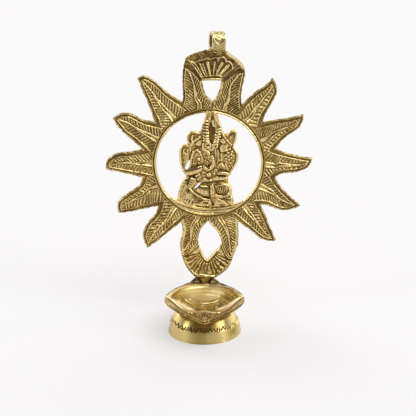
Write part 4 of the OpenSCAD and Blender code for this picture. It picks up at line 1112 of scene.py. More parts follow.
# Cut lines, in the same form
FIGURE_CUTS = [
    (5.2, [0.9, 1.3, 2.3, 2.5, 1.7, 0.7, 0.5], 0.3, [(0.6, 45.4), (0.9, 39), (1.3, 33), (1.2, 27.5),
         (1.2, 22), (1.3, 14), (1.6, 8)]),
    (5.2, 0.7, 0.2, [(-7.9, 23.3), (-12, 24), (-14.9, 24), (-16.4, 22.3), (-16.5, 19.4), (-15.6, 17.6)]),
    (5.0, 0.65, 0.2, [(-18, 12.9), (-20.6, 12.5), (-21.8, 10), (-21.7, 7), (-21.3, 3), (-20.6, -1.8),
         (-18.8, -5.6)]),
    (5.6, 1.0, 0.25, [(-11, 4.6), (-10.9, 1.5), (-10.6, -1.4)]),
    (6.8, 0.6, 0.2, [(-7, 15), (-6.8, 12), (-4.6, 8.8), (-2.2, 7.4)]),
    (6.6, 0.55, 0.2, [(2.2, 14), (3, 11), (2.2, 8.4)]),
    (6.4, 0.5, 0.2, [(4.1, 8), (4.9, 2), (4.6, -3)]),
    (6.2, 0.5, 0.2, [(6.2, 8), (6.4, 2)]),
    (6.0, 0.55, 0.2, [(7.6, 27.2), (10.6, 22), (13.2, 18.6), (16.4, 15.4)]),
    (5.8, 0.5, 0.2, [(9.8, 27.6), (12.8, 23.6), (15.2, 20.6)]),
    (5.0, 0.6, 0.2, [(14.4, 22.6), (16.4, 25.9), (18.9, 26.5), (19.2, 24), (18.4, 21), (16.2, 20),
         (14.6, 21.4)]),
    (5.0, 0.55, 0.2, [(18.6, 13), (20.6, 10), (21.2, 7), (20.2, 2.4), (17.6, -3.4)]),
    (5.6, 0.6, 0.2, [(12.6, 2.6), (12.6, -1), (14.4, -5)]),
    (5.4, [1.5, 2.1, 1.6], 0.3, [(8.4, -4.5), (9.9, -3.9), (11.8, -4.5)]),
    (7.0, 0.55, 0.2, [(-19.6, -11.2), (-14, -11.2), (-9, -9.2), (-6, -7.6)]),
    (6.2, 0.8, 0.2, [(-2.4, -8.2), (-2, -10.8), (0.5, -12.4), (3.1, -10.8), (3.3, -8.2)]),
    (6.3, 0.6, 0.2, [(5, -10), (10, -9.9), (15, -9.9)]),
    (6.3, [0.95, 0.95, 0.9, 0.8, 0.75, 0.75, 0.9], 0.2, [(-9.6, -21.8), (-5.2, -17), (0, -16.2),
         (5.5, -15.7), (10.5, -15), (15.5, -15.6), (18.6, -18)]),
    (7.0, 0.5, 0.2, [(-15.6, -13.4), (-17.2, -16.4), (-18.2, -18.6)]),
    (8.1, 0.7, 0.2, [(-12.4, -22), (-9.8, -24.6), (-6.4, -26.8), (-3, -28.8), (2, -29.4)]),
    (9.3, 0.4, 0.15, [(3.3, -20.4), (4.9, -20.2), (5.5, -23), (5.2, -25.9), (3.8, -26.2), (3.1, -23),
         (3.3, -20.4)]),
    (8.7, 0.5, 0.2, [(1.3, -18.4), (2.1, -21.6), (1.9, -26)]),
    (8.6, 0.5, 0.2, [(6.3, -19.4), (6.0, -25.4)]),
    (9.2, 0.35, 0.15, [(3.2, -21.3), (5.4, -21.2)]),
    (9.2, 0.35, 0.15, [(3.1, -22.6), (5.4, -22.5)]),
    (9.2, 0.35, 0.15, [(3.1, -23.9), (5.3, -23.8)]),
    (7.6, 0.55, 0.2, [(8.2, -28.3), (13.2, -30.2), (17.4, -32.8)]),
    (6.6, [0.8, 1.25, 1.0], 0.5, [(4.1, -32.2), (5.2, -34.6), (5.0, -37)]),
    (7.6, 1.2, 0.3, [(-6.4, -29), (-5.8, -30.8)]),
    (7.9, 0.5, 0.2, [(-17.9, -30.6), (-18.9, -33.4)]),
    (8.3, 0.55, 0.2, [(-15.9, -31), (-16.9, -34.2)]),
    (8.3, 0.55, 0.2, [(-13.7, -31.6), (-14.7, -34.8)]),
    (7.9, 0.45, 0.2, [(-11.3, -32.6), (-12, -35.4)]),
    (7.9, 0.45, 0.2, [(-7.2, -33), (-7.2, -36)]),
    (8.0, 0.45, 0.2, [(-5.2, -33), (-5.2, -36.4)]),
    (8.0, 0.45, 0.2, [(-3.2, -33), (-3.4, -36.4)]),
    (8.6, 0.4, 0.2, [(-8, -20.4), (-7.4, -24), (-4.4, -26.4)])]

# Round hollows and beads: a, b, depth, radius
FIGURE_HOLLOWS = [
    (-7.9, 23.3, 5.6, 1.3), (-9.6, -1.4, 5.9, 1.7), (9.3, 13.7, 6.9, 1.3), (14.3, 22.4, 5.3, 1.3),
    (11.8, 8.8, 6.0, 1.4), (-5.1, -11.8, 6.9, 0.9), (-4.2, -13.4, 7.2, 0.8), (-0.9, -6.9, 7.2, 0.6),
    (0.9, -6.8, 7.2, 0.6), (-9.8, -28, 9.4, 1.1), (4.3, 15, 7.0, 0.9), (-17.2, -15.4, 6.6, 1.3)]
FIGURE_BEADS = [
    (-1.2, 14.2, 6.3, 1.0), (-0.5, 8.3, 6.7, 1.5), (-2.4, 5.2, 6.2, 0.9), (-0.1, 3.8, 6.2, 0.85),
    (-2.9, 2.7, 6.2, 0.85), (-1.0, 1.6, 6.3, 0.85), (-3.2, 0.4, 6.2, 0.8), (-1.2, -0.8, 6.4, 0.8),
    (-20.2, 5.0, 4.6, 0.85), (-19.9, 3.1, 4.6, 0.85), (-19.7, 1.2, 4.6, 0.85), (-19.8, -0.8, 4.6, 0.85),
    (-19.8, -2.8, 4.6, 0.85), (13.8, 12.0, 5.1, 1.3), (16.2, 13.2, 5.0, 1.3), (18.0, 11.2, 4.9, 1.2),
    (15.2, 9.8, 5.1, 1.25), (17.5, 8.8, 5.1, 1.2), (19.5, 7.8, 4.8, 1.1), (13.4, 7.9, 5.2, 1.2),
    (15.6, 7.0, 5.1, 1.2), (18.0, 6.0, 5.0, 1.15), (13.8, 5.0, 5.1, 1.1), (16.2, 4.2, 5.1, 1.15),
    (19.2, 3.8, 4.7, 1.0), (14.2, 2.4, 5.0, 1.0), (17.6, 1.8, 4.8, 1.0), (16.6, -0.6, 4.8, 0.9),
    (0.5, -9.3, 6.7, 2.1), (-7.6, -9.4, 6.7, 1.3), (-9.6, -11, 6.5, 1.2), (-6.6, -11.9, 6.5, 1.1),
    (-3.6, -10, 6.4, 1.0), (-8.2, -13.2, 6.4, 1.1), (4.6, -8, 6.2, 1.1)]

# Rolls up either side of the crown: height, left end, right end
CROWN_ROLLS = [
    (35.4, -4.5, -2.3), (33, -5.1, -2.0), (30.7, -5.6, -1.8), (28.4, -5.7, -1.6), (25.7, -5.4, -1.6),
    (23.3, -5.2, -1.4), (21.1, -5.4, -1.1), (19, -5.2, -1.2), (29.4, 5.2, 8.2), (27.0, 4.4, 8.4),
    (24.7, 3.9, 8.2), (22.5, 3.6, 7.8), (20.4, 3.3, 7.2), (18.4, 3.2, 6.7)]
# Curls under the brow: middle (a, b), radius of the curl, radius of the strand
FIGURE_CURLS = [(-1.4, 15.1, 2.1, 0.75), (4.3, 15.1, 1.9, 0.7)]
# The field inside the oval frame on the belly, which is cut back
BELLY_FRAME = [(8.2, -19.6), (15.4, -18.9), (16.8, -21.6), (15.4, -24.4), (8.6, -25.4), (7.8, -22.5)]
# Places pierced along the line of sight, through the whole depth: radii, points
FIGURE_PIERCED = [
    ((1.3, 1.2, 0.6), [(-17.9, -4.3), (-16.7, -1.8), (-15.8, 1.8)]),
    ((0.5, 0.8, 0.6), [(-5.9, -16.3), (-8.0, -18.8), (-10.2, -21.0)])]


# The flat back of the figure, and the middle of the seat's curved top
FIGURE_BACK = 0.62
SEAT_CENTRE_B = SEAT_TOP_R - RING_HOLE_R + SEAT_W


def make_figure(material):
    """The seated figure: masses first, then raised and cut lines, beads and holes."""
    clay = Clay((-26, -40.5, -0.6), (25, 46.5, 12.6), 0.32)
    for low, high, rounding, outline in FIGURE_PADS:
        clay.pad(outline, low, high, rounding=rounding, blend=0.5)
    for depth, radius, flat, points in FIGURE_LUMPS:
        clay.line(points, depth, radius, blend=0.6, flat=flat)
    for depth, radius, blend, points in FIGURE_LINES:
        clay.line(points, depth, radius, blend=blend)
    for b, left, right in CROWN_ROLLS:
        sag = 0.35 * np.sign(left + right)
        roll = [(left, b - sag, 5.1), ((left + right) / 2, b, 5.9), (right, b + sag, 5.1)]
        clay.line(roll, 0, 1.02, blend=0.15)
    for a, b, reach, radius in FIGURE_CURLS:
        ring = [(a + reach * math.sin(t), b + reach * math.cos(t)) for t in np.linspace(0, 5.6, 10)]
        clay.line(ring, 6.3, radius, blend=0.2)
    clay.pad(BELLY_FRAME, 6.2, 10.5, rounding=0.6, blend=0.3, cut=True)
    for a, b, depth, radius in FIGURE_HOLLOWS:
        clay.tube(places([(a, b)], depth), radius, blend=0.25, cut=True)
    for depth, radius, blend, points in FIGURE_CUTS:
        clay.line(points, depth, radius, blend=blend, cut=True)
    # Metal left standing low in the cut up the crown
    clay.line([(1.2, 36.4), (2.4, 32.4)], 2.9, 1.7, blend=0.6)
    for a, b, depth, radius in FIGURE_BEADS:
        clay.tube(places([(a, b)], depth), radius, blend=0.2)
    # Slanting ribs in the oval frame
    for k in range(5):
        clay.line([(8.9 + 1.85 * k, -19.4), (7.9 + 1.85 * k, -25.0)], 6.5, 0.6, blend=0.2)
    for radius, points in FIGURE_PIERCED:
        for depth in np.arange(-1, 13, 0.5):
            clay.line(points, depth, radius, blend=0.15, cut=True)
    clay.roughen(0.09, 1.1, 61)
    clay.roughen(0.2, 3.4, 62)
    trim_to_seat(clay)
    clay.keep((FIGURE_BACK - clay.axes[2])[None, None, :])
    clay_piece("seated_figure", clay, material, shade_scale=1.22, reaches=(0.8, 1.9, 3.0))


def trim_to_seat(clay):
    """Keeps the figure above the curved top of its seat and inside the ring's front."""
    a, b = np.meshgrid(clay.axes[0], clay.axes[1], indexing="ij")
    seat = np.hypot(a, b - SEAT_CENTRE_B) - (SEAT_TOP_R + 0.4)
    clay.keep(seat[:, :, None])
    beyond_hole = np.hypot(a, b) - (RING_HOLE_R + 0.3)
    ahead = RING_T - 0.5 - clay.axes[2]
    clay.keep(np.minimum(beyond_hole[:, :, None], ahead[None, None, :]))


def seat_arc(depth, up):
    """A path along the seat's curved top, at a height over it."""
    angles = np.radians(np.linspace(-27, 27, 41))
    reach = SEAT_TOP_R - 0.5 - up
    return np.stack([reach * np.sin(angles), SEAT_CENTRE_B - reach * np.cos(angles), 0 * angles + depth], -1)


def make_seat(material):
    """The seat: a slab between its curved top and the ring, with beads and grooves."""
    clay = Clay((-29, -44, -0.6), (29, -29, 9.4), 0.34)
    for depth, radius, up in ((7.0, 0.85, 0.2), (6.1, 0.8, -4.6)):
        clay.tube(seat_arc(depth, up), radius, blend=0.35)
    a, b = np.meshgrid(clay.axes[0], clay.axes[1], indexing="ij")
    from_middle = np.hypot(a, b)
    lens = np.maximum(from_middle - (RING_HOLE_R + 0.2), (SEAT_TOP_R - 0.3) - np.hypot(a, b - SEAT_CENTRE_B))
    deep = np.abs(clay.axes[2] - 3.2) - 2.9
    slab = np.maximum(lens[:, :, None], deep[None, None, :]).astype(np.float32)
    clay.field = blend_min(clay.field, slab, 0.4)
    for depth, radius, up in ((6.5, 0.62, -1.7), (6.3, 0.5, -6.1)):
        clay.tube(seat_arc(depth, up), radius, blend=0.3, cut=True)
    clay.keep((from_middle - (RING_HOLE_R + 0.25))[:, :, None])
    clay.roughen(0.1, 1.4, 63)
    clay_piece("figure_seat", clay, material)


def turns(count):
    """A column of angles once round, in radians."""
    return np.radians(np.linspace(0, 360, count, endpoint=False))[:, None]


# The ring's section from its hole outwards: radius, depth and patina
RING_SECTION = np.array([
    [RING_HOLE_R + 0.15, 0.0, 0.2], [RING_HOLE_R, 0.8, 0.15], [RING_HOLE_R, 2.4, 0.05],
    [42.5, 3.2, 0], [42.8, 3.85, 0], [43.3, 4.25, 0], [43.8, 4.05, 0], [44.1, 3.6, 0.2],
    [44.35, 2.8, 0.75], [44.6, 2.5, 0.85], [44.85, 2.85, 0.55], [45.2, 3.2, 0.28],
    [45.8, 3.25, 0.3], [46.1, 2.9, 0.5], [RING_OUT_R, 2.2, 0.8], [RING_OUT_R, 0.0, 0.5]])


def make_ring(material, count=420):
    """The ring: a rounded lip round the hole, a groove beside it and an outer ridge."""
    turn = turns(count)
    r, d, patina = [section[None] + 0 * turn for section in RING_SECTION.T]
    flat = np.stack([r * np.sin(turn), r * np.cos(turn)], -1)
    uneven = 0.14 * noise(lift(flat, d), 5, 21) + 0.12 * noise(lift(flat, d), 1.6, 22)
    d = np.where(d > 1, d + uneven, d)
    grow = 1 + np.where(d > 1, 0.004 * noise(lift(flat, d), 5, 23), 0)
    verts = lift(flat * grow[..., None], d).reshape(-1, 3)
    patina = patina + 0.15 * noise(lift(flat, d), 3, 24)
    add_piece("sun_ring", on_frame(verts), turned_faces(*d.shape), material, patina)


# The loop's lumpy foot: right of its middle, above the crest, depth, radius. Then small
# dents in its strap: right of its middle, above the crest, radius.
LOOP_LUMPS = [
    (-5.6, 0.5, 4.6, 1.3), (-3.2, 0.9, 5.0, 1.5), (-0.6, 0.6, 5.3, 1.4), (2.2, 1.0, 5.2, 1.6),
    # Makes a mesh piece that replaces the CAD node of the same name. faces is a list of arrays of equal-sided
    # faces, and verts are in metres. patina, 0 to 1, says how brown each vertex is. On some pieces it also
    # carries painted shade, highlights, sheen and reflections.
    (4.8, 0.8, 4.8, 1.4), (6.6, 0.2, 4.0, 1.1), (-6.8, -0.4, 3.6, 1.0), (0.6, -0.9, 4.6, 1.1),
    (-4.4, 0.6, -1.2, 1.5), (0, 0.8, -1.6, 1.6), (4.2, 0.7, -1.3, 1.5), (3.6, -0.8, 4.3, 1.0)]
LOOP_DENTS = [(-0.9, 2.6, 0.95), (-1.6, 5.6, 0.8), (3.4, 6.4, 0.75), (-3.6, 2.0, 0.6), (3.0, 2.2, 0.7)]
CHEVRON_STEP = 3.6


def make_loop(material):
    """The hanging loop: a strap bent round its eye, on a foot that runs over the crest."""
    crest_top = VALLEY_LINE + CREST_H
    middle = (CREST_TOP_LEFT[-1][0] + CREST_TOP_RIGHT[0][0]) / 2 * CREST_W / 2
    eye_up = crest_top + LOOP_R - 1.3
    clay = Clay((middle - 10, crest_top - 3.2, -8.6), (middle + 10, crest_top + 17, 12), 0.26)
    a, b, d = np.meshgrid(*clay.axes, indexing="ij")
    # s runs across the strap, q and b - eye_up across its eye
    turn_a, turn_d = math.cos(LOOP_YAW), math.sin(LOOP_YAW)
    s = (a - middle) * turn_a - (d - LEAF_TOP / 2) * turn_d
    q = (d - LEAF_TOP / 2) * turn_a + (a - middle) * turn_d
    r = np.hypot(b - eye_up, q)
    phi = np.arctan2(q, b - eye_up)
    mid_r = (LOOP_R + EYE_R) / 2 - 0.15
    half_t = (LOOP_R - EYE_R) / 2 - 0.2
    half_w = LOOP_W / 2 + 0.02
    run = phi * LOOP_R + 0.85 * np.abs(s)
    wobble = 0.6 * noise(np.stack([a, b, d], -1), 5, 71)
    wave = 0.5 + 0.5 * np.cos(2 * math.pi * run / CHEVRON_STEP + wobble)
    relief = 0.62 * step_up(0.25, 0.8, wave) * step_up(half_w - 0.9, half_w - 1.5, np.abs(s))
    relief = relief + 0.42 * bump(np.abs(s) - (half_w - 0.7), 0.75)
    shell = np.maximum(np.abs(r - mid_r) - half_t - 0.45 * relief * (r > mid_r), np.abs(s) - half_w)
    shell = np.maximum(shell, (crest_top - 0.6) - b)
    clay.field = np.minimum(clay.field, shell).astype(np.float32)
    for x, up, deep, radius in LOOP_LUMPS:
        clay.ball((middle + x, crest_top + up, deep - 1.2), radius, blend=0.9)
    for x, up, radius in LOOP_DENTS:
        front = LEAF_TOP / 2 + math.sqrt(max(LOOP_R ** 2 - (crest_top + up - eye_up) ** 2, 0)) + 0.4
        clay.ball((middle + x, crest_top + up, front - x * turn_d), radius, blend=0.3, cut=True)
    clay.roughen(0.1, 1.6, 72)
    clay_piece("hanging_loop", clay, material)


# Lumps of solder on each side: distance from the middle, height over the rim, depth, radius
SOLDER_LUMPS = [(6.0, 0.3, 1.6, 1.9), (7.4, -0.1, 2.2, 1.6), (5.9, 1.0, 0.9, 1.3),
                (5.6, -0.2, 4.0, 1.2), (8.8, -0.4, 1.4, 1.1)]


def upright(xzd):
    """Places (x, height, depth from the frame's back) as lamp places in metres."""
    return np.stack([xzd[..., 0], BACK_Y - xzd[..., 2], xzd[..., 1]], -1) * MM


def make_solder(material):
    """Two mounds of solder on the bowl's rim, one on each side of the tongue."""
    clay = Clay((-11.5, RIM_Z - 0.6, -0.4), (11.5, RIM_Z + 3.6, 7.0), 0.26)
    for side in (-1, 1):
        for x, up, deep, radius in SOLDER_LUMPS:
            clay.ball((side * x, RIM_Z + up, deep), radius, blend=0.8)
    clay.roughen(0.3, 1.2, 73)
    clay.keep((RIM_Z + 0.02 - clay.axes[1])[None, :, None])
    clay.keep((0.05 - clay.axes[2])[None, None, :])
    clay_piece("solder_mounds", clay, material, upright)


# Turned pieces: the stand and the bowl, about the upright through the lamp's centre

STAND_H = stand_high[2]
FOOT_R = stand_high[0]
SKIRT_R = FOOT_R - 1.8
NECK_R = 12.0
WALL = 2.2
STUD_R = 3.0
STUD_HOLE_R = STUD_R + 0.2
# The row of chisel marks on the stand's shoulder: how many, their height and radius
MARKS = 74
MARKS_Z = 10.35
MARKS_R = 27
# The stand's outer side from foot to neck, and its inside: radius and height
STAND_SIDE = [
    (FOOT_R - 0.1, 0.12), (FOOT_R, 0.5), (FOOT_R - 0.3, 1.6), (SKIRT_R + 0.1, 8.6), (27.55, 9.9),
    (26.8, 10.8), (25.55, 13.1), (24.0, 15.4), (23.1, 16.5), (22.2, 17.2), (20.8, 17.7),
    (17, 18.05), (13, 18.3), (NECK_R, STAND_H)]
STAND_INSIDE = [
    (STUD_HOLE_R, STAND_H), (STUD_HOLE_R, 15.9), (10.9, 15.9), (18, 15.2), (21.4, 13),
    (24, 9.5), (SKIRT_R - WALL, 7.3), (FOOT_R - WALL, 0.0), (FOOT_R - 0.5, 0.0)]


def chisel_marks(turn, z):
    """Depth, 0 to 1, of the row of small strokes struck round the stand's shoulder."""
    cell = turn * MARKS / (2 * math.pi)
    number = np.floor(cell)
    part = (cell - number - 0.5) * 2 * math.pi * MARKS_R / MARKS
    place = np.concatenate([number + 0.5, 0 * number, 0 * number], -1)
    jitter, second, third = [noise(place, 1.0, seed)[:, None] for seed in (84, 85, 86)]
    up = z - MARKS_Z - 0.6 * jitter + 0.6 * np.cos(turn + 0.4)
    lean = np.where(second > 0, 0.75, -0.5) + 0.3 * third
    tall = 1.5 + 0.45 * second
    stroke = bump(part + 0.4 * third - lean * up, 0.56 + 0.12 * third)
    return stroke * step_up(tall + 0.25, tall - 0.25, np.abs(up))


def painted_stand_reflections(turn, z):
    """Painted reflections on the polished stand: soft upright bands of brown and olive
    where it would mirror darker surroundings, and a thin lighter line as a painted
    highlight. side is the angle from the front, in degrees, and grows to the right."""
    side = np.mod(np.degrees(turn), 360) - 180 + 0 * z
    low = step_up(10.5, 8.5, z)
    # Painted reflections: brown bands at the front of the skirt and of the shoulder, and olive patches on the
    # sides
    broad = 0.17 * step_up(40, 35, np.abs(side + 2)) + 0.2 * step_up(23, 19, np.abs(side - 1))
    brown = 0.26 * soft(side + 8, 22) * low + broad * (1 - low)
    olive = 0.4 * soft(side - 55, 18) * low * soft(z - 6.5, 6) + 0.16 * soft(side + 78, 24)
    # A thin lighter upright line on the skirt: a painted highlight
    line = soft(side - 6, 1.6) * low
    streaks = noise(np.stack([side / 60, 0 * side, z], -1), 0.7, 81)
    return np.maximum(brown + olive + 0.06 * streaks - 0.3 * line, 0)


def make_stand(material, count=812):
    """The hollow stand, turned from its profile and struck with a row of marks."""
    side = along(smooth(STAND_SIDE, 6), np.linspace(0, 1, 110))
    profile = np.vstack([side, STAND_INSIDE])
    turn = turns(count)
    r, z = [column[None] + 0 * turn for column in profile.T]
    outside = (np.arange(len(profile)) < len(side))[None]
    cut = chisel_marks(turn, z) * outside * (r > 23)
    place = np.stack([np.sin(turn) * r, -np.cos(turn) * r, z], -1)
    uneven = 0.035 * noise(place, 11, 82) + 0.06 * cut * noise(place, 0.8, 83)
    r = r - 0.85 * cut + outside * uneven
    verts = np.stack([-np.sin(turn) * r, np.cos(turn) * r, z], -1).reshape(-1, 3)
    # The chisel marks are brown, and browner on the left, away from the key light, as painted shade. The rest
    # of the outside takes the painted reflection bands.
    left = step_up(14, -18, np.mod(np.degrees(turn), 360) - 180)
    patina = cut * (1.0 + 1.2 * left) + np.where(outside, painted_stand_reflections(turn, z), 0.45)
    add_piece("stand_base", verts * MM, turned_faces(*r.shape), material, patina, crease=50)


BOWL_W = bowl_high[0]
BOWL_TIP = -bowl_low[1]
BOWL_STEM = bowl_high[1]
LUG_W = 26.0
LUG_TOP_W = 14.0
LUG_H = 2.8
# The hollow is a little narrower than its table says
HOLLOW_NARROW = 0.957
STUD_END_Z = STAND_H - 9.8
# The bowl's underside from below the lip to the stud's end: radius and height
BOWL_UNDER = [(28.5, RIM_Z - LIP_T), (20, 21.5), (NECK_R, STAND_H), (STUD_R, STAND_H),
              (STUD_R, STAND_H - 9.4), (STUD_R - 0.5, STUD_END_Z)]


def mirrored(half):
    """A closed path from the half on the right."""
    return np.vstack([half, (half * [-1, 1])[::-1]])


def bowl_outline():
    """The lip's outer edge, seen from above."""
    front = smooth([[x * BOWL_W, y * BOWL_TIP] for x, y in BOWL_FRONT])
    back = smooth([[x * BOWL_W, y * BOWL_STEM] for x, y in BOWL_BACK])
    stem = along(np.array([back[-1], [0, BOWL_STEM]]), np.linspace(0.1, 1, 10))
    return mirrored(np.vstack([front, back[1:], stem]))


def bowl_hollow():
    """The hollow's edge seen from above: pointed in front, and round behind."""
    front = smooth(np.array(HOLLOW) * DISH_R)
    arc = polar(DISH_R, np.linspace(0, 90, 60))
    arc = arc[arc[:, 1] > front[0][1] * 0.9]
    return mirrored(np.vstack([front[::-1], arc[::-1]])) * [HOLLOW_NARROW, 1]


def radius_at(path, angles):
    """Distance from the centre to a closed path, at angles clockwise from the tip."""
    turn = np.mod(np.degrees(np.arctan2(path[:, 0], -path[:, 1])), 360)
    order = np.argsort(turn)
    return np.interp(angles, turn[order], np.hypot(path[:, 0], path[:, 1])[order], period=360)


def about_centre(turn, r):
    """Places (x, y) at radii and angles clockwise from the bowl's tip."""
    return np.stack([np.sin(turn) * r, -np.cos(turn) * r], -1)


def bowl_dish(at):
    """Heights of the hollow: deep and round, with a soft shoulder up to the lip."""
    deep = (DISH_DEPTH + RECESS_DEPTH) * (1 - np.clip(at.r / DISH_R, 0, 1) ** 2.6)
    near_side = 0.15 + 0.85 * step_up(2, -9, at.y)
    deep = deep - near_side * 0.42 * bump(at.r - 20.6 - 0.4 * noise(at.xy, 14, 87), 1.1)
    deep = deep - near_side * 0.36 * bump(at.r - 25.2 - 0.4 * noise(at.xy, 16, 88), 0.9)
    shoulder = 0.12 + 0.2 * np.maximum(at.from_hollow, 0) ** 1.55
    return RIM_Z - np.where(at.on_lip, 0, np.minimum(np.maximum(deep, 0.1), shoulder))


def lip_front(z, at):
    """Crowns the lip's front part and cuts a groove outside the hollow's rounded edge."""
    ahead = at.on_lip * step_up(9, -2, at.y)
    groove = ahead * bump(at.from_hollow - 1.6, 0.85) * step_up(9, 14, np.abs(at.x))
    z = z - 0.8 * groove + ahead * 0.2 * bump(at.from_hollow - 0.5, 0.7)
    dull = ahead * step_up(1.4, 2.4, at.from_hollow) * (0.52 + 0.26 * noise(at.xy, 3.2, 99))
    return z, np.maximum(np.maximum(0, groove), dull)


def lip_shell(z, patina, at):
    """Cuts the shell of strokes behind the tip."""
    reach, spread = around(at.xy, np.array([0, -BOWL_TIP]))
    fan = reach + 0.006 * spread ** 2
    band = step_up(8.2, 9.4, fan) * step_up(18.2, 16.8, fan) * step_up(1.2, 2.2, at.from_hollow)
    band = at.on_lip * (band * (np.abs(spread) < 39))
    strokes = step_up(0.3, 0.75, ripple(spread / 9.4 + 0.1 * noise(at.xy, 2.5, 90)))
    z = z - band * strokes + 0.22 * band
    return z, np.maximum(patina, band * strokes * (1.2 + 0.3 * noise(at.xy, 1.5, 91)))


def lip_back(z, patina, at):
    """Pits and darkens the rough rim behind, and raises the lug behind the tongue."""
    behind = at.on_lip * step_up(2, 12, at.y)
    pits = behind * (0.25 + 0.35 * noise(at.xy, 1.6, 92)) * step_up(0.4, 1.4, at.from_hollow)
    z = z - pits + 0.12 * behind * noise(at.xy, 4, 93)
    dull = behind * step_up(0.1, 0.9, at.from_hollow) * (0.8 + 0.35 * noise(at.xy, 2.2, 94))
    z = z + at.lug - at.on_lip * 0.7 * worn_edge(at.from_edge, 0.9)
    return np.minimum(z, RIM_Z + at.lug + 0.25), np.maximum(patina, dull)


def dish_marks(z, patina, at):
    """Adds the marks of the turning tool, and soft arcs and steps on the floor. The back of the floor is left
    clean, so that it takes the pale colour: a painted sheen.
    """
    in_dish = ~at.on_lip
    fine = noise(np.stack([at.r, 0.02 * at.x, 0.02 * at.y], -1), 1.2, 95)
    tool = fine + 0.7 * noise(np.stack([at.r, 0.01 * at.x, 0.01 * at.y], -1), 2.6, 96)
    lined = step_up(17, 22, at.r) * (0.3 + 0.7 * step_up(8, 16, np.abs(at.x)))
    from_back = np.hypot(at.x, at.y - 19)
    arcs = 0.42 * bump(from_back - 14.2 - 0.3 * noise(at.xy, 8, 105), 1.2) + 0.2 * bump(from_back - 18.2, 0.9)
    marks = 0.012 * tool + 0.045 * tool * lined + 0.012 * noise(at.xy, 7, 97) + arcs * step_up(13, 8, at.y)
    z = z + in_dish * marks
    for ring_r, size in ((18.6, 0.1), (23.2, 0.14), (27.6, 0.16)):
        z = z - in_dish * size * step_up(ring_r + 0.35, ring_r - 0.35, at.r + 0.35 * noise(at.xy, 18, 98))
    # A painted sheen: towards the back the floor keeps no patina, so it shows the brass's pale first colour
    painted_sheen = step_up(20, 13, np.hypot(at.x + 1, at.y - 24))
    dull = 0.13 - 0.13 * painted_sheen + 0.12 * noise(at.xy, 9, 100) + 0.22 * step_up(0.4, 1.0, np.abs(tool)) * lined
    return z, np.maximum(patina, in_dish * dull)


def bowl_wall(turn, edge, lug_edge):
    """Radii, heights and patina of the scored side wall, from the lip down."""
    down = np.linspace(0.1, 1, 14)[None]
    place = lift(about_centre(turn, edge + 0 * down), 0 * edge + down * LIP_T)
    scored = bump(down - 0.42 - 0.08 * noise(place, 5, 101), 0.2)
    scored = scored * step_up(-0.25, 0.25, noise(place, 1.3, 102) + 0.25) * step_up(-0.75, 0.0, np.cos(turn))
    r = edge - 0.5 * scored - 0.12 * (1 + noise(place, 1.8, 103)) - 0.7 * step_up(0.75, 1, down)
    z = RIM_Z - 0.45 - down * (LIP_T - 0.5) + lug_edge * (1 - 0.4 * down)
    # The wall is also darker towards the back and on its front right
    front_right = (np.sin(turn) > 0.1) * (np.cos(turn) > 0)
    patina = 0.38 + 0.9 * scored + 0.25 * noise(place, 2, 104) + 0.45 * step_up(0.2, -0.4, np.cos(turn))
    return r, z, patina + 0.25 * front_right


def make_bowl(material, count=900):
    """The bowl in one closed mesh, with columns from its middle over the lip and down to
    the end of the stud."""
    outline, hollow = bowl_outline(), bowl_hollow()
    turn = turns(count)
    angles = np.linspace(0, 360, count, endpoint=False)
    edge = radius_at(outline, angles)[:, None]
    rough = 1 + noise(about_centre(turn, edge)[:, 0], 1.6, 89)[:, None]
    edge = edge - (0.12 + 0.22 * step_up(0.3, -0.3, np.cos(turn))) * rough
    hole = np.minimum(radius_at(hollow, angles), DISH_R)[:, None]
    lip = hole + 0.12
    # Columns across the floor, the slope and the lip: first and last share, and how many
    spans = (0.04, 0.97, 20), (0.02, 1.0, 84), (0.04, 0.975, 46)
    floor, slope, top = [np.linspace(*span)[None] for span in spans]
    r = np.hstack([RECESS_R * floor + 0 * edge, RECESS_R + 0 * edge, RECESS_R + (hole - RECESS_R) * slope,
                   lip, lip + (edge - hole - 0.12) * top])

    xy = about_centre(turn, r)
    x, y = xy[..., 0], xy[..., 1]
    lug = np.clip((LUG_W / 2 - np.abs(x)) / ((LUG_W - LUG_TOP_W) / 2), 0, 1)
    lug = LUG_H * (lug * step_up(BACK_Y - 0.1, BACK_Y + 0.3, y))
    at = SimpleNamespace(r=r, xy=xy, x=x, y=y, lug=lug, on_lip=r > hole + 0.01,
                         from_edge=gap_to(xy, outline), from_hollow=gap_to(xy, hollow))
    z, patina = lip_front(bowl_dish(at), at)
    z, patina = lip_shell(z, patina, at)
    z, patina = lip_back(z, patina, at)
    z, patina = dish_marks(z, patina, at)
    wall_r, wall_z, wall_patina = bowl_wall(turn, edge, at.lug[:, -1:])

    middle_z = z[:, 0].mean()
    under = [np.full((count, 1), value) for value in np.ravel(BOWL_UNDER)]
    r = np.hstack([r, wall_r, *under[::2]])
    z = np.hstack([z, wall_z, *under[1::2]])
    patina = np.hstack([patina, wall_patina, np.full((count, len(BOWL_UNDER)), 0.55)])
    verts = lift(about_centre(turn, r), z).reshape(-1, 3)
    # The two ends close on a point in the middle of the floor and of the stud
    rows, cols = r.shape
    middle = len(verts)
    verts = np.vstack([verts, [[0, 0, middle_z], [0, 0, STUD_END_Z]]])
    first = np.arange(rows) * cols
    last = first + cols - 1
    faces = [grid_faces(rows, cols, wrap=True),
             np.stack([np.full(rows, middle), first, np.roll(first, -1)], -1),
             np.stack([np.full(rows, middle + 1), np.roll(last, -1), last], -1)]
    patina = np.concatenate([patina.ravel(), [0.2, 0.5]])
    add_piece("lamp_bowl", verts * MM, faces, material, patina, crease=50)


# Materials

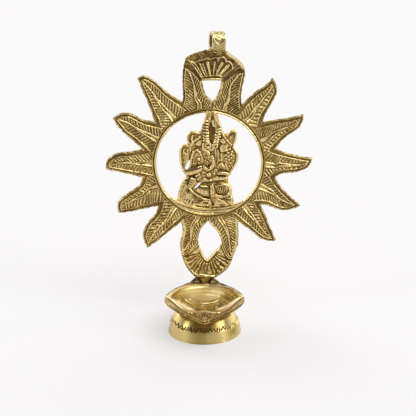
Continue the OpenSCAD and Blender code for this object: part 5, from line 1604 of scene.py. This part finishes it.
class Nodes:
    """Short ways to add and join nodes in a tree."""

    def __init__(self, tree):
        self.tree = tree

    def add(self, kind, **values):
        """A new node. values are its own properties, or its inputs with _ for a space."""
        node = self.tree.nodes.new(kind)
        for key, value in values.items():
            if hasattr(node, key):
                setattr(node, key, value)
            else:
                node.inputs[key.replace("_", " ")].default_value = value
        return node

    def join(self, source, target):
        self.tree.links.new(source, target)

    def math(self, operation, a, b=0.5):
        """The result for two values, each a number or an output."""
        node = self.add("ShaderNodeMath", operation=operation)
        for socket, value in zip(node.inputs, (a, b)):
            if isinstance(value, (int, float)):
                socket.default_value = value
            else:
                self.join(value, socket)
        return node.outputs[0]

    def vector(self, operation, source, fixed=(0, 0, 0), output="Vector"):
        """The result for an output and a fixed vector."""
        node = self.add("ShaderNodeVectorMath", operation=operation)
        self.join(source, node.inputs[0])
        node.inputs[1].default_value = fixed
        return node.outputs[output]

    def ramp(self, source, stops):
        """A colour ramp whose stops are places with a grey level or a colour."""
        node = self.add("ShaderNodeValToRGB")
        elements = node.color_ramp.elements
        while len(elements) < len(stops):
            elements.new(0.5)
        for element, (place, value) in zip(elements, stops):
            element.position = place
            element.color = (value, value, value, 1) if isinstance(value, float) else (*value, 1)
        self.join(source, node.inputs["Fac"])
        return node.outputs["Color"]

    def smooth_range(self, source, low, high, start=0.0, end=1.0):
        """start where the source is under low, end where it is over high."""
        node = self.add("ShaderNodeMapRange", interpolation_type="SMOOTHSTEP",
                        From_Min=low, From_Max=high, To_Min=start, To_Max=end)
        self.join(source, node.inputs["Value"])
        return node.outputs[0]

    def object_point(self):
        return self.add("ShaderNodeTexCoord").outputs["Object"]

    def patina(self):
        return self.add("ShaderNodeAttribute", attribute_name="patina").outputs["Fac"]

    def noise(self, scale, detail=4.0, roughness=0.6):
        node = self.add("ShaderNodeTexNoise", Scale=scale, Detail=detail, Roughness=roughness)
        self.join(self.object_point(), node.inputs["Vector"])
        return node.outputs["Fac"]

    def spread(self, noise, amount):
        """Noise about 0 instead of about 0.5, times an amount."""
        return self.math("MULTIPLY", self.math("SUBTRACT", noise, 0.5), amount)

    def bump(self, height, strength, distance, before=None):
        """A bumped normal, over the bumps before it."""
        node = self.add("ShaderNodeBump", Strength=strength, Distance=distance)
        self.join(height, node.inputs["Height"])
        if before is not None:
            self.join(before, node.inputs["Normal"])
        return node.outputs["Normal"]


def new_material(name):
    """A material, its nodes, and the inputs of its shader."""
    material = bpy.data.materials.new(name)
    material.use_nodes = True
    tree = material.node_tree
    return material, Nodes(tree), tree.nodes["Principled BSDF"].inputs


def brass(name, colours, rough, grain, grime, turned=0.0, spun=0.0, satin=None):
    """Brass whose hollows, marked by the patina attribute, are brown and dull. On some
    pieces that attribute also carries painted shade, highlights and reflections. colours
    run from clean over worn to dark, with a pale one before them where there are four:
    a painted sheen where the patina is lowest.
    rough is the roughness of clean and of dark brass, grain the strength of the cast
    surface, grime that of the stains, turned that of the turning lines and spun that of
    the stretched highlights."""
    material, n, shader = new_material(name)
    *pale, clean, worn, dark = colours
    level = n.math("ADD", n.patina(), n.spread(n.noise(260.0, 5.0, 0.65), grime))
    level = n.math("ADD", level, n.spread(n.noise(70.0, 3.0, 0.5), grime * 0.6))
    brown = [0.55 * w + 0.45 * d for w, d in zip(worn, dark)]
    stops = [(0.0, pale[0]), (0.12, clean)] if pale else [(0.01, clean)]
    n.join(n.ramp(level, stops + [(0.38, worn), (0.72, brown), (1.0, dark)]), shader["Base Color"])
    n.join(n.ramp(level, [(0.0, 1.0), (0.55, 0.95), (1.0, 0.55)]), shader["Metallic"])
    dull = n.ramp(level, [(0.0, rough[0]), (0.5, 0.5 * (rough[0] + rough[1])), (1.0, rough[1])])
    if satin:
        # A duller floor round an upright line: the line's place, two radii, how much duller
        centre, inner, outer, more = satin
        away = n.vector("MULTIPLY", n.vector("SUBTRACT", n.object_point(), centre), (1, 1, 0))
        share = n.math("DIVIDE", n.vector("LENGTH", away, output="Value"), outer)
        dull = n.math("ADD", dull, n.ramp(share, [(0.0, more), (inner / outer, more), (1.0, 0.0)]))
    n.join(dull, shader["Roughness"])
    normal = n.bump(n.noise(2600.0, 3.0, 0.6), grain * 0.35, 0.00006)
    normal = n.bump(n.noise(900.0, 5.0, 0.7), grain, 0.00016, normal)
    if turned:
        normal = n.bump(turning_lines(n), turned, 0.00005, normal)
    n.join(normal, shader["Normal"])
    if spun:
        tangent = n.add("ShaderNodeTangent", direction_type="RADIAL", axis="Z")
        n.join(tangent.outputs[0], shader["Tangent"])
        shader["Anisotropic"].default_value = spun
        shader["Anisotropic Rotation"].default_value = 0.25
    return material


def turning_lines(n):
    """Fine lines round the upright axis, in rings on flat faces and round upright ones."""
    split = n.add("ShaderNodeSeparateXYZ")
    n.join(n.object_point(), split.inputs[0])
    x, y, z = split.outputs
    square = n.math("ADD", n.math("MULTIPLY", x, x), n.math("MULTIPLY", y, y))
    reach = n.math("ADD", n.math("SQRT", square), n.math("MULTIPLY", z, 1.7))
    place = n.add("ShaderNodeCombineXYZ")
    for source, scale, socket in zip((reach, x, y), (5200.0, 18.0, 18.0), place.inputs):
        n.join(n.math("MULTIPLY", source, scale), socket)
    lines = n.add("ShaderNodeTexNoise", Scale=1.0, Detail=2.0, Roughness=0.5)
    n.join(place.outputs[0], lines.inputs["Vector"])
    return lines.outputs["Fac"]


def solder_look():
    """Grey-green solder with brown spots."""
    material, n, shader = new_material("solder_look")
    level = n.math("ADD", n.patina(), n.spread(n.noise(500.0), 1.2))
    greens = [(0.0, (0.20, 0.145, 0.055)), (0.5, (0.09, 0.06, 0.022)), (1.0, (0.03, 0.019, 0.008))]
    n.join(n.ramp(level, greens), shader["Base Color"])
    n.join(n.ramp(level, [(0.0, 0.9), (1.0, 0.5)]), shader["Metallic"])
    n.join(n.ramp(level, [(0.0, 0.38), (1.0, 0.65)]), shader["Roughness"])
    n.join(n.bump(n.noise(700.0), 0.8, 0.0004), shader["Normal"])
    return material


CLEAN = (0.76, 0.60, 0.28)
WORN = (0.40, 0.275, 0.075)

aged = brass("aged_brass_look", [CLEAN, WORN, (0.115, 0.06, 0.016)],
             rough=(0.2, 0.5), grain=0.5, grime=0.45)
ring_brass = brass("ring_brass_look", [CLEAN, WORN, (0.10, 0.048, 0.010)],
                   rough=(0.2, 0.5), grain=0.4, grime=0.35)
cast = brass("cast_brass_look", [CLEAN, (0.44, 0.29, 0.085), (0.06, 0.022, 0.006)],
             rough=(0.12, 0.45), grain=0.18, grime=0.34)
# The loop's brass is a dimmer copy of the others: painted shade that tones down the strong reflections it
# catches
loop_brass = brass("loop_brass_look", [(0.58, 0.48, 0.235), (0.40, 0.285, 0.10), (0.10, 0.028, 0.010)],
                   rough=(0.22, 0.45), grain=0.1, grime=0.3)
# The bowl's first, pale colour is a painted sheen on the clean back of its floor
bowl_brass = brass("polished_brass_look",
                   [(0.84, 0.72, 0.42), (0.84, 0.66, 0.29), (0.44, 0.28, 0.07), (0.05, 0.028, 0.008)],
                   rough=(0.1, 0.5), grain=0.05, grime=0.16, turned=0.14, spun=0.5,
                   satin=((-0.001, 0.024, 0), 0.013, 0.021, 0.25))
stand_brass = brass("turned_brass_look", [(0.66, 0.51, 0.20), (0.40, 0.27, 0.07), (0.05, 0.033, 0.015)],
                    rough=(0.25, 0.5), grain=0.03, grime=0.1, turned=0.2, spun=0.7)
fastener = brass("fastener_brass_look", [(0.6, 0.44, 0.18), (0.35, 0.25, 0.09), (0.06, 0.035, 0.015)],
                 rough=(0.3, 0.6), grain=0.4, grime=0.5)

make_stand(stand_brass)
make_bowl(bowl_brass)
make_solder(solder_look())
make_ring(ring_brass)
make_sun_leaves(aged)
make_window_leaves(CREST_LEAVES, crest_places, CREST_PART, CREST_INNER, CREST_OUTER_SIDE, CREST_LOOK, aged)
make_crest_fan(aged)
make_window_leaves(FOOT_LEAVES, foot_places, FOOT_PART, FOOT_INNER, FREE_SIDE, FOOT_LOOK, aged)
make_foot_fan(aged)
make_loop(loop_brass)
make_seat(cast)
make_figure(cast)
for node in ("base_washer", "base_nut"):
    for slot in bpy.data.objects[node].material_slots:
        slot.material = fastener


# Stage, light and camera

FLOOR_HALF = 6.0
FLOOR_GLOW = 0.44
# Soft lamps painted on the surroundings: direction, half angle in degrees, softness of
# the edge in degrees, and level
SOFT_BOXES = [
    [(-0.86, -0.30, 0.42), 9, 2, 6.0],
    [(0.84, -0.42, 0.34), 8, 2, 9.5],
    [(0.15, -0.45, 0.88), 12, 4, 3.7],
    [(-0.2, 0.45, 0.87), 12, 4, 4.0],
    [(0.36, 0.66, 0.44), 6, 1.5, 6.5],
    [(-0.58, 0.6, 0.36), 6, 1.5, 5.5]]
# Level of the surroundings by height: the share up from the horizon, and the level
SKY = [(0.0, 0.85), (0.14, 0.8), (0.3, 0.4), (0.6, 0.16), (1.0, 0.16)]
# What is added to that behind the lamp, and what is left of it in front
BACKDROP = [(0.0, 0.75), (0.35, 0.9), (0.7, 0.8), (1.0, 0.35)]
FRONT_SHARE = 0.42
# The photograph's camera: lens and sensor in millimetres, place in metres, and how far
# it is turned up from looking straight down, in degrees
LENS = 110.53
SENSOR_W = 36
CAMERA_PLACE = (0.00278, -0.960, 0.4224)
CAMERA_TILT = 71.702


def make_floor():
    """A pale floor that glows a little, so that it fades into the surroundings."""
    mesh = bpy.data.meshes.new("floor")
    corners = [(x * FLOOR_HALF, y * FLOOR_HALF, 0) for x, y in ((-1, -1), (1, -1), (1, 1), (-1, 1))]
    mesh.from_pydata(corners, [], [(0, 1, 2, 3)])
    floor = bpy.data.objects.new("floor", mesh)
    bpy.context.scene.collection.objects.link(floor)
    material, _, shader = new_material("floor_look")
    shader["Base Color"].default_value = (0.36, 0.355, 0.358, 1)
    shader["Roughness"].default_value = 0.9
    shader["Specular IOR Level"].default_value = 0.0
    shader["Emission Color"].default_value = (1.0, 0.985, 0.985, 1)
    shader["Emission Strength"].default_value = FLOOR_GLOW
    mesh.materials.append(material)


def make_key_light():
    """A wide, weak sun from the upper right."""
    light = bpy.data.lights.new("key", "SUN")
    light.energy = 1.8
    light.angle = math.radians(52)
    light.color = (1, 0.99, 0.97)
    key = bpy.data.objects.new("key", light)
    key.rotation_euler = mathutils.Vector((0.75, -0.35, 1.2)).to_track_quat("Z", "Y").to_euler()
    bpy.context.scene.collection.objects.link(key)


def make_surroundings():
    """A light studio: bright low down and behind, dimmer in front, with soft lamps."""
    world = bpy.data.worlds.new("surroundings")
    world.use_nodes = True
    bpy.context.scene.world = world
    n = Nodes(world.node_tree)
    direction = n.add("ShaderNodeTexCoord").outputs["Generated"]
    split = n.add("ShaderNodeSeparateXYZ")
    n.join(direction, split.inputs[0])
    back, up = split.outputs["Y"], split.outputs["Z"]
    level = n.math("MULTIPLY", n.ramp(up, SKY), n.smooth_range(back, -0.74, -0.4, FRONT_SHARE))
    level = n.math("ADD", level, n.math("MULTIPLY", n.ramp(up, BACKDROP), n.smooth_range(back, -0.05, 0.5)))
    for towards, half, edge, strength in SOFT_BOXES:
        near = n.vector("DOT_PRODUCT", direction, mathutils.Vector(towards).normalized(), "Value")
        low, high = math.cos(math.radians(half + edge)), math.cos(math.radians(half - edge))
        level = n.math("ADD", level, n.smooth_range(near, low, high, 0.0, strength))
    n.join(level, n.tree.nodes["Background"].inputs["Color"])


def make_camera():
    """The photograph's view, from in front and a little above."""
    data = bpy.data.cameras.new("camera")
    data.lens = LENS
    data.sensor_width = SENSOR_W
    camera = bpy.data.objects.new("camera", data)
    camera.location = CAMERA_PLACE
    camera.rotation_euler = (math.radians(CAMERA_TILT), 0, 0)
    bpy.context.scene.collection.objects.link(camera)
    bpy.context.scene.camera = camera


make_floor()
make_key_light()
make_surroundings()
make_camera()
bpy.context.scene.view_settings.view_transform = "Standard"
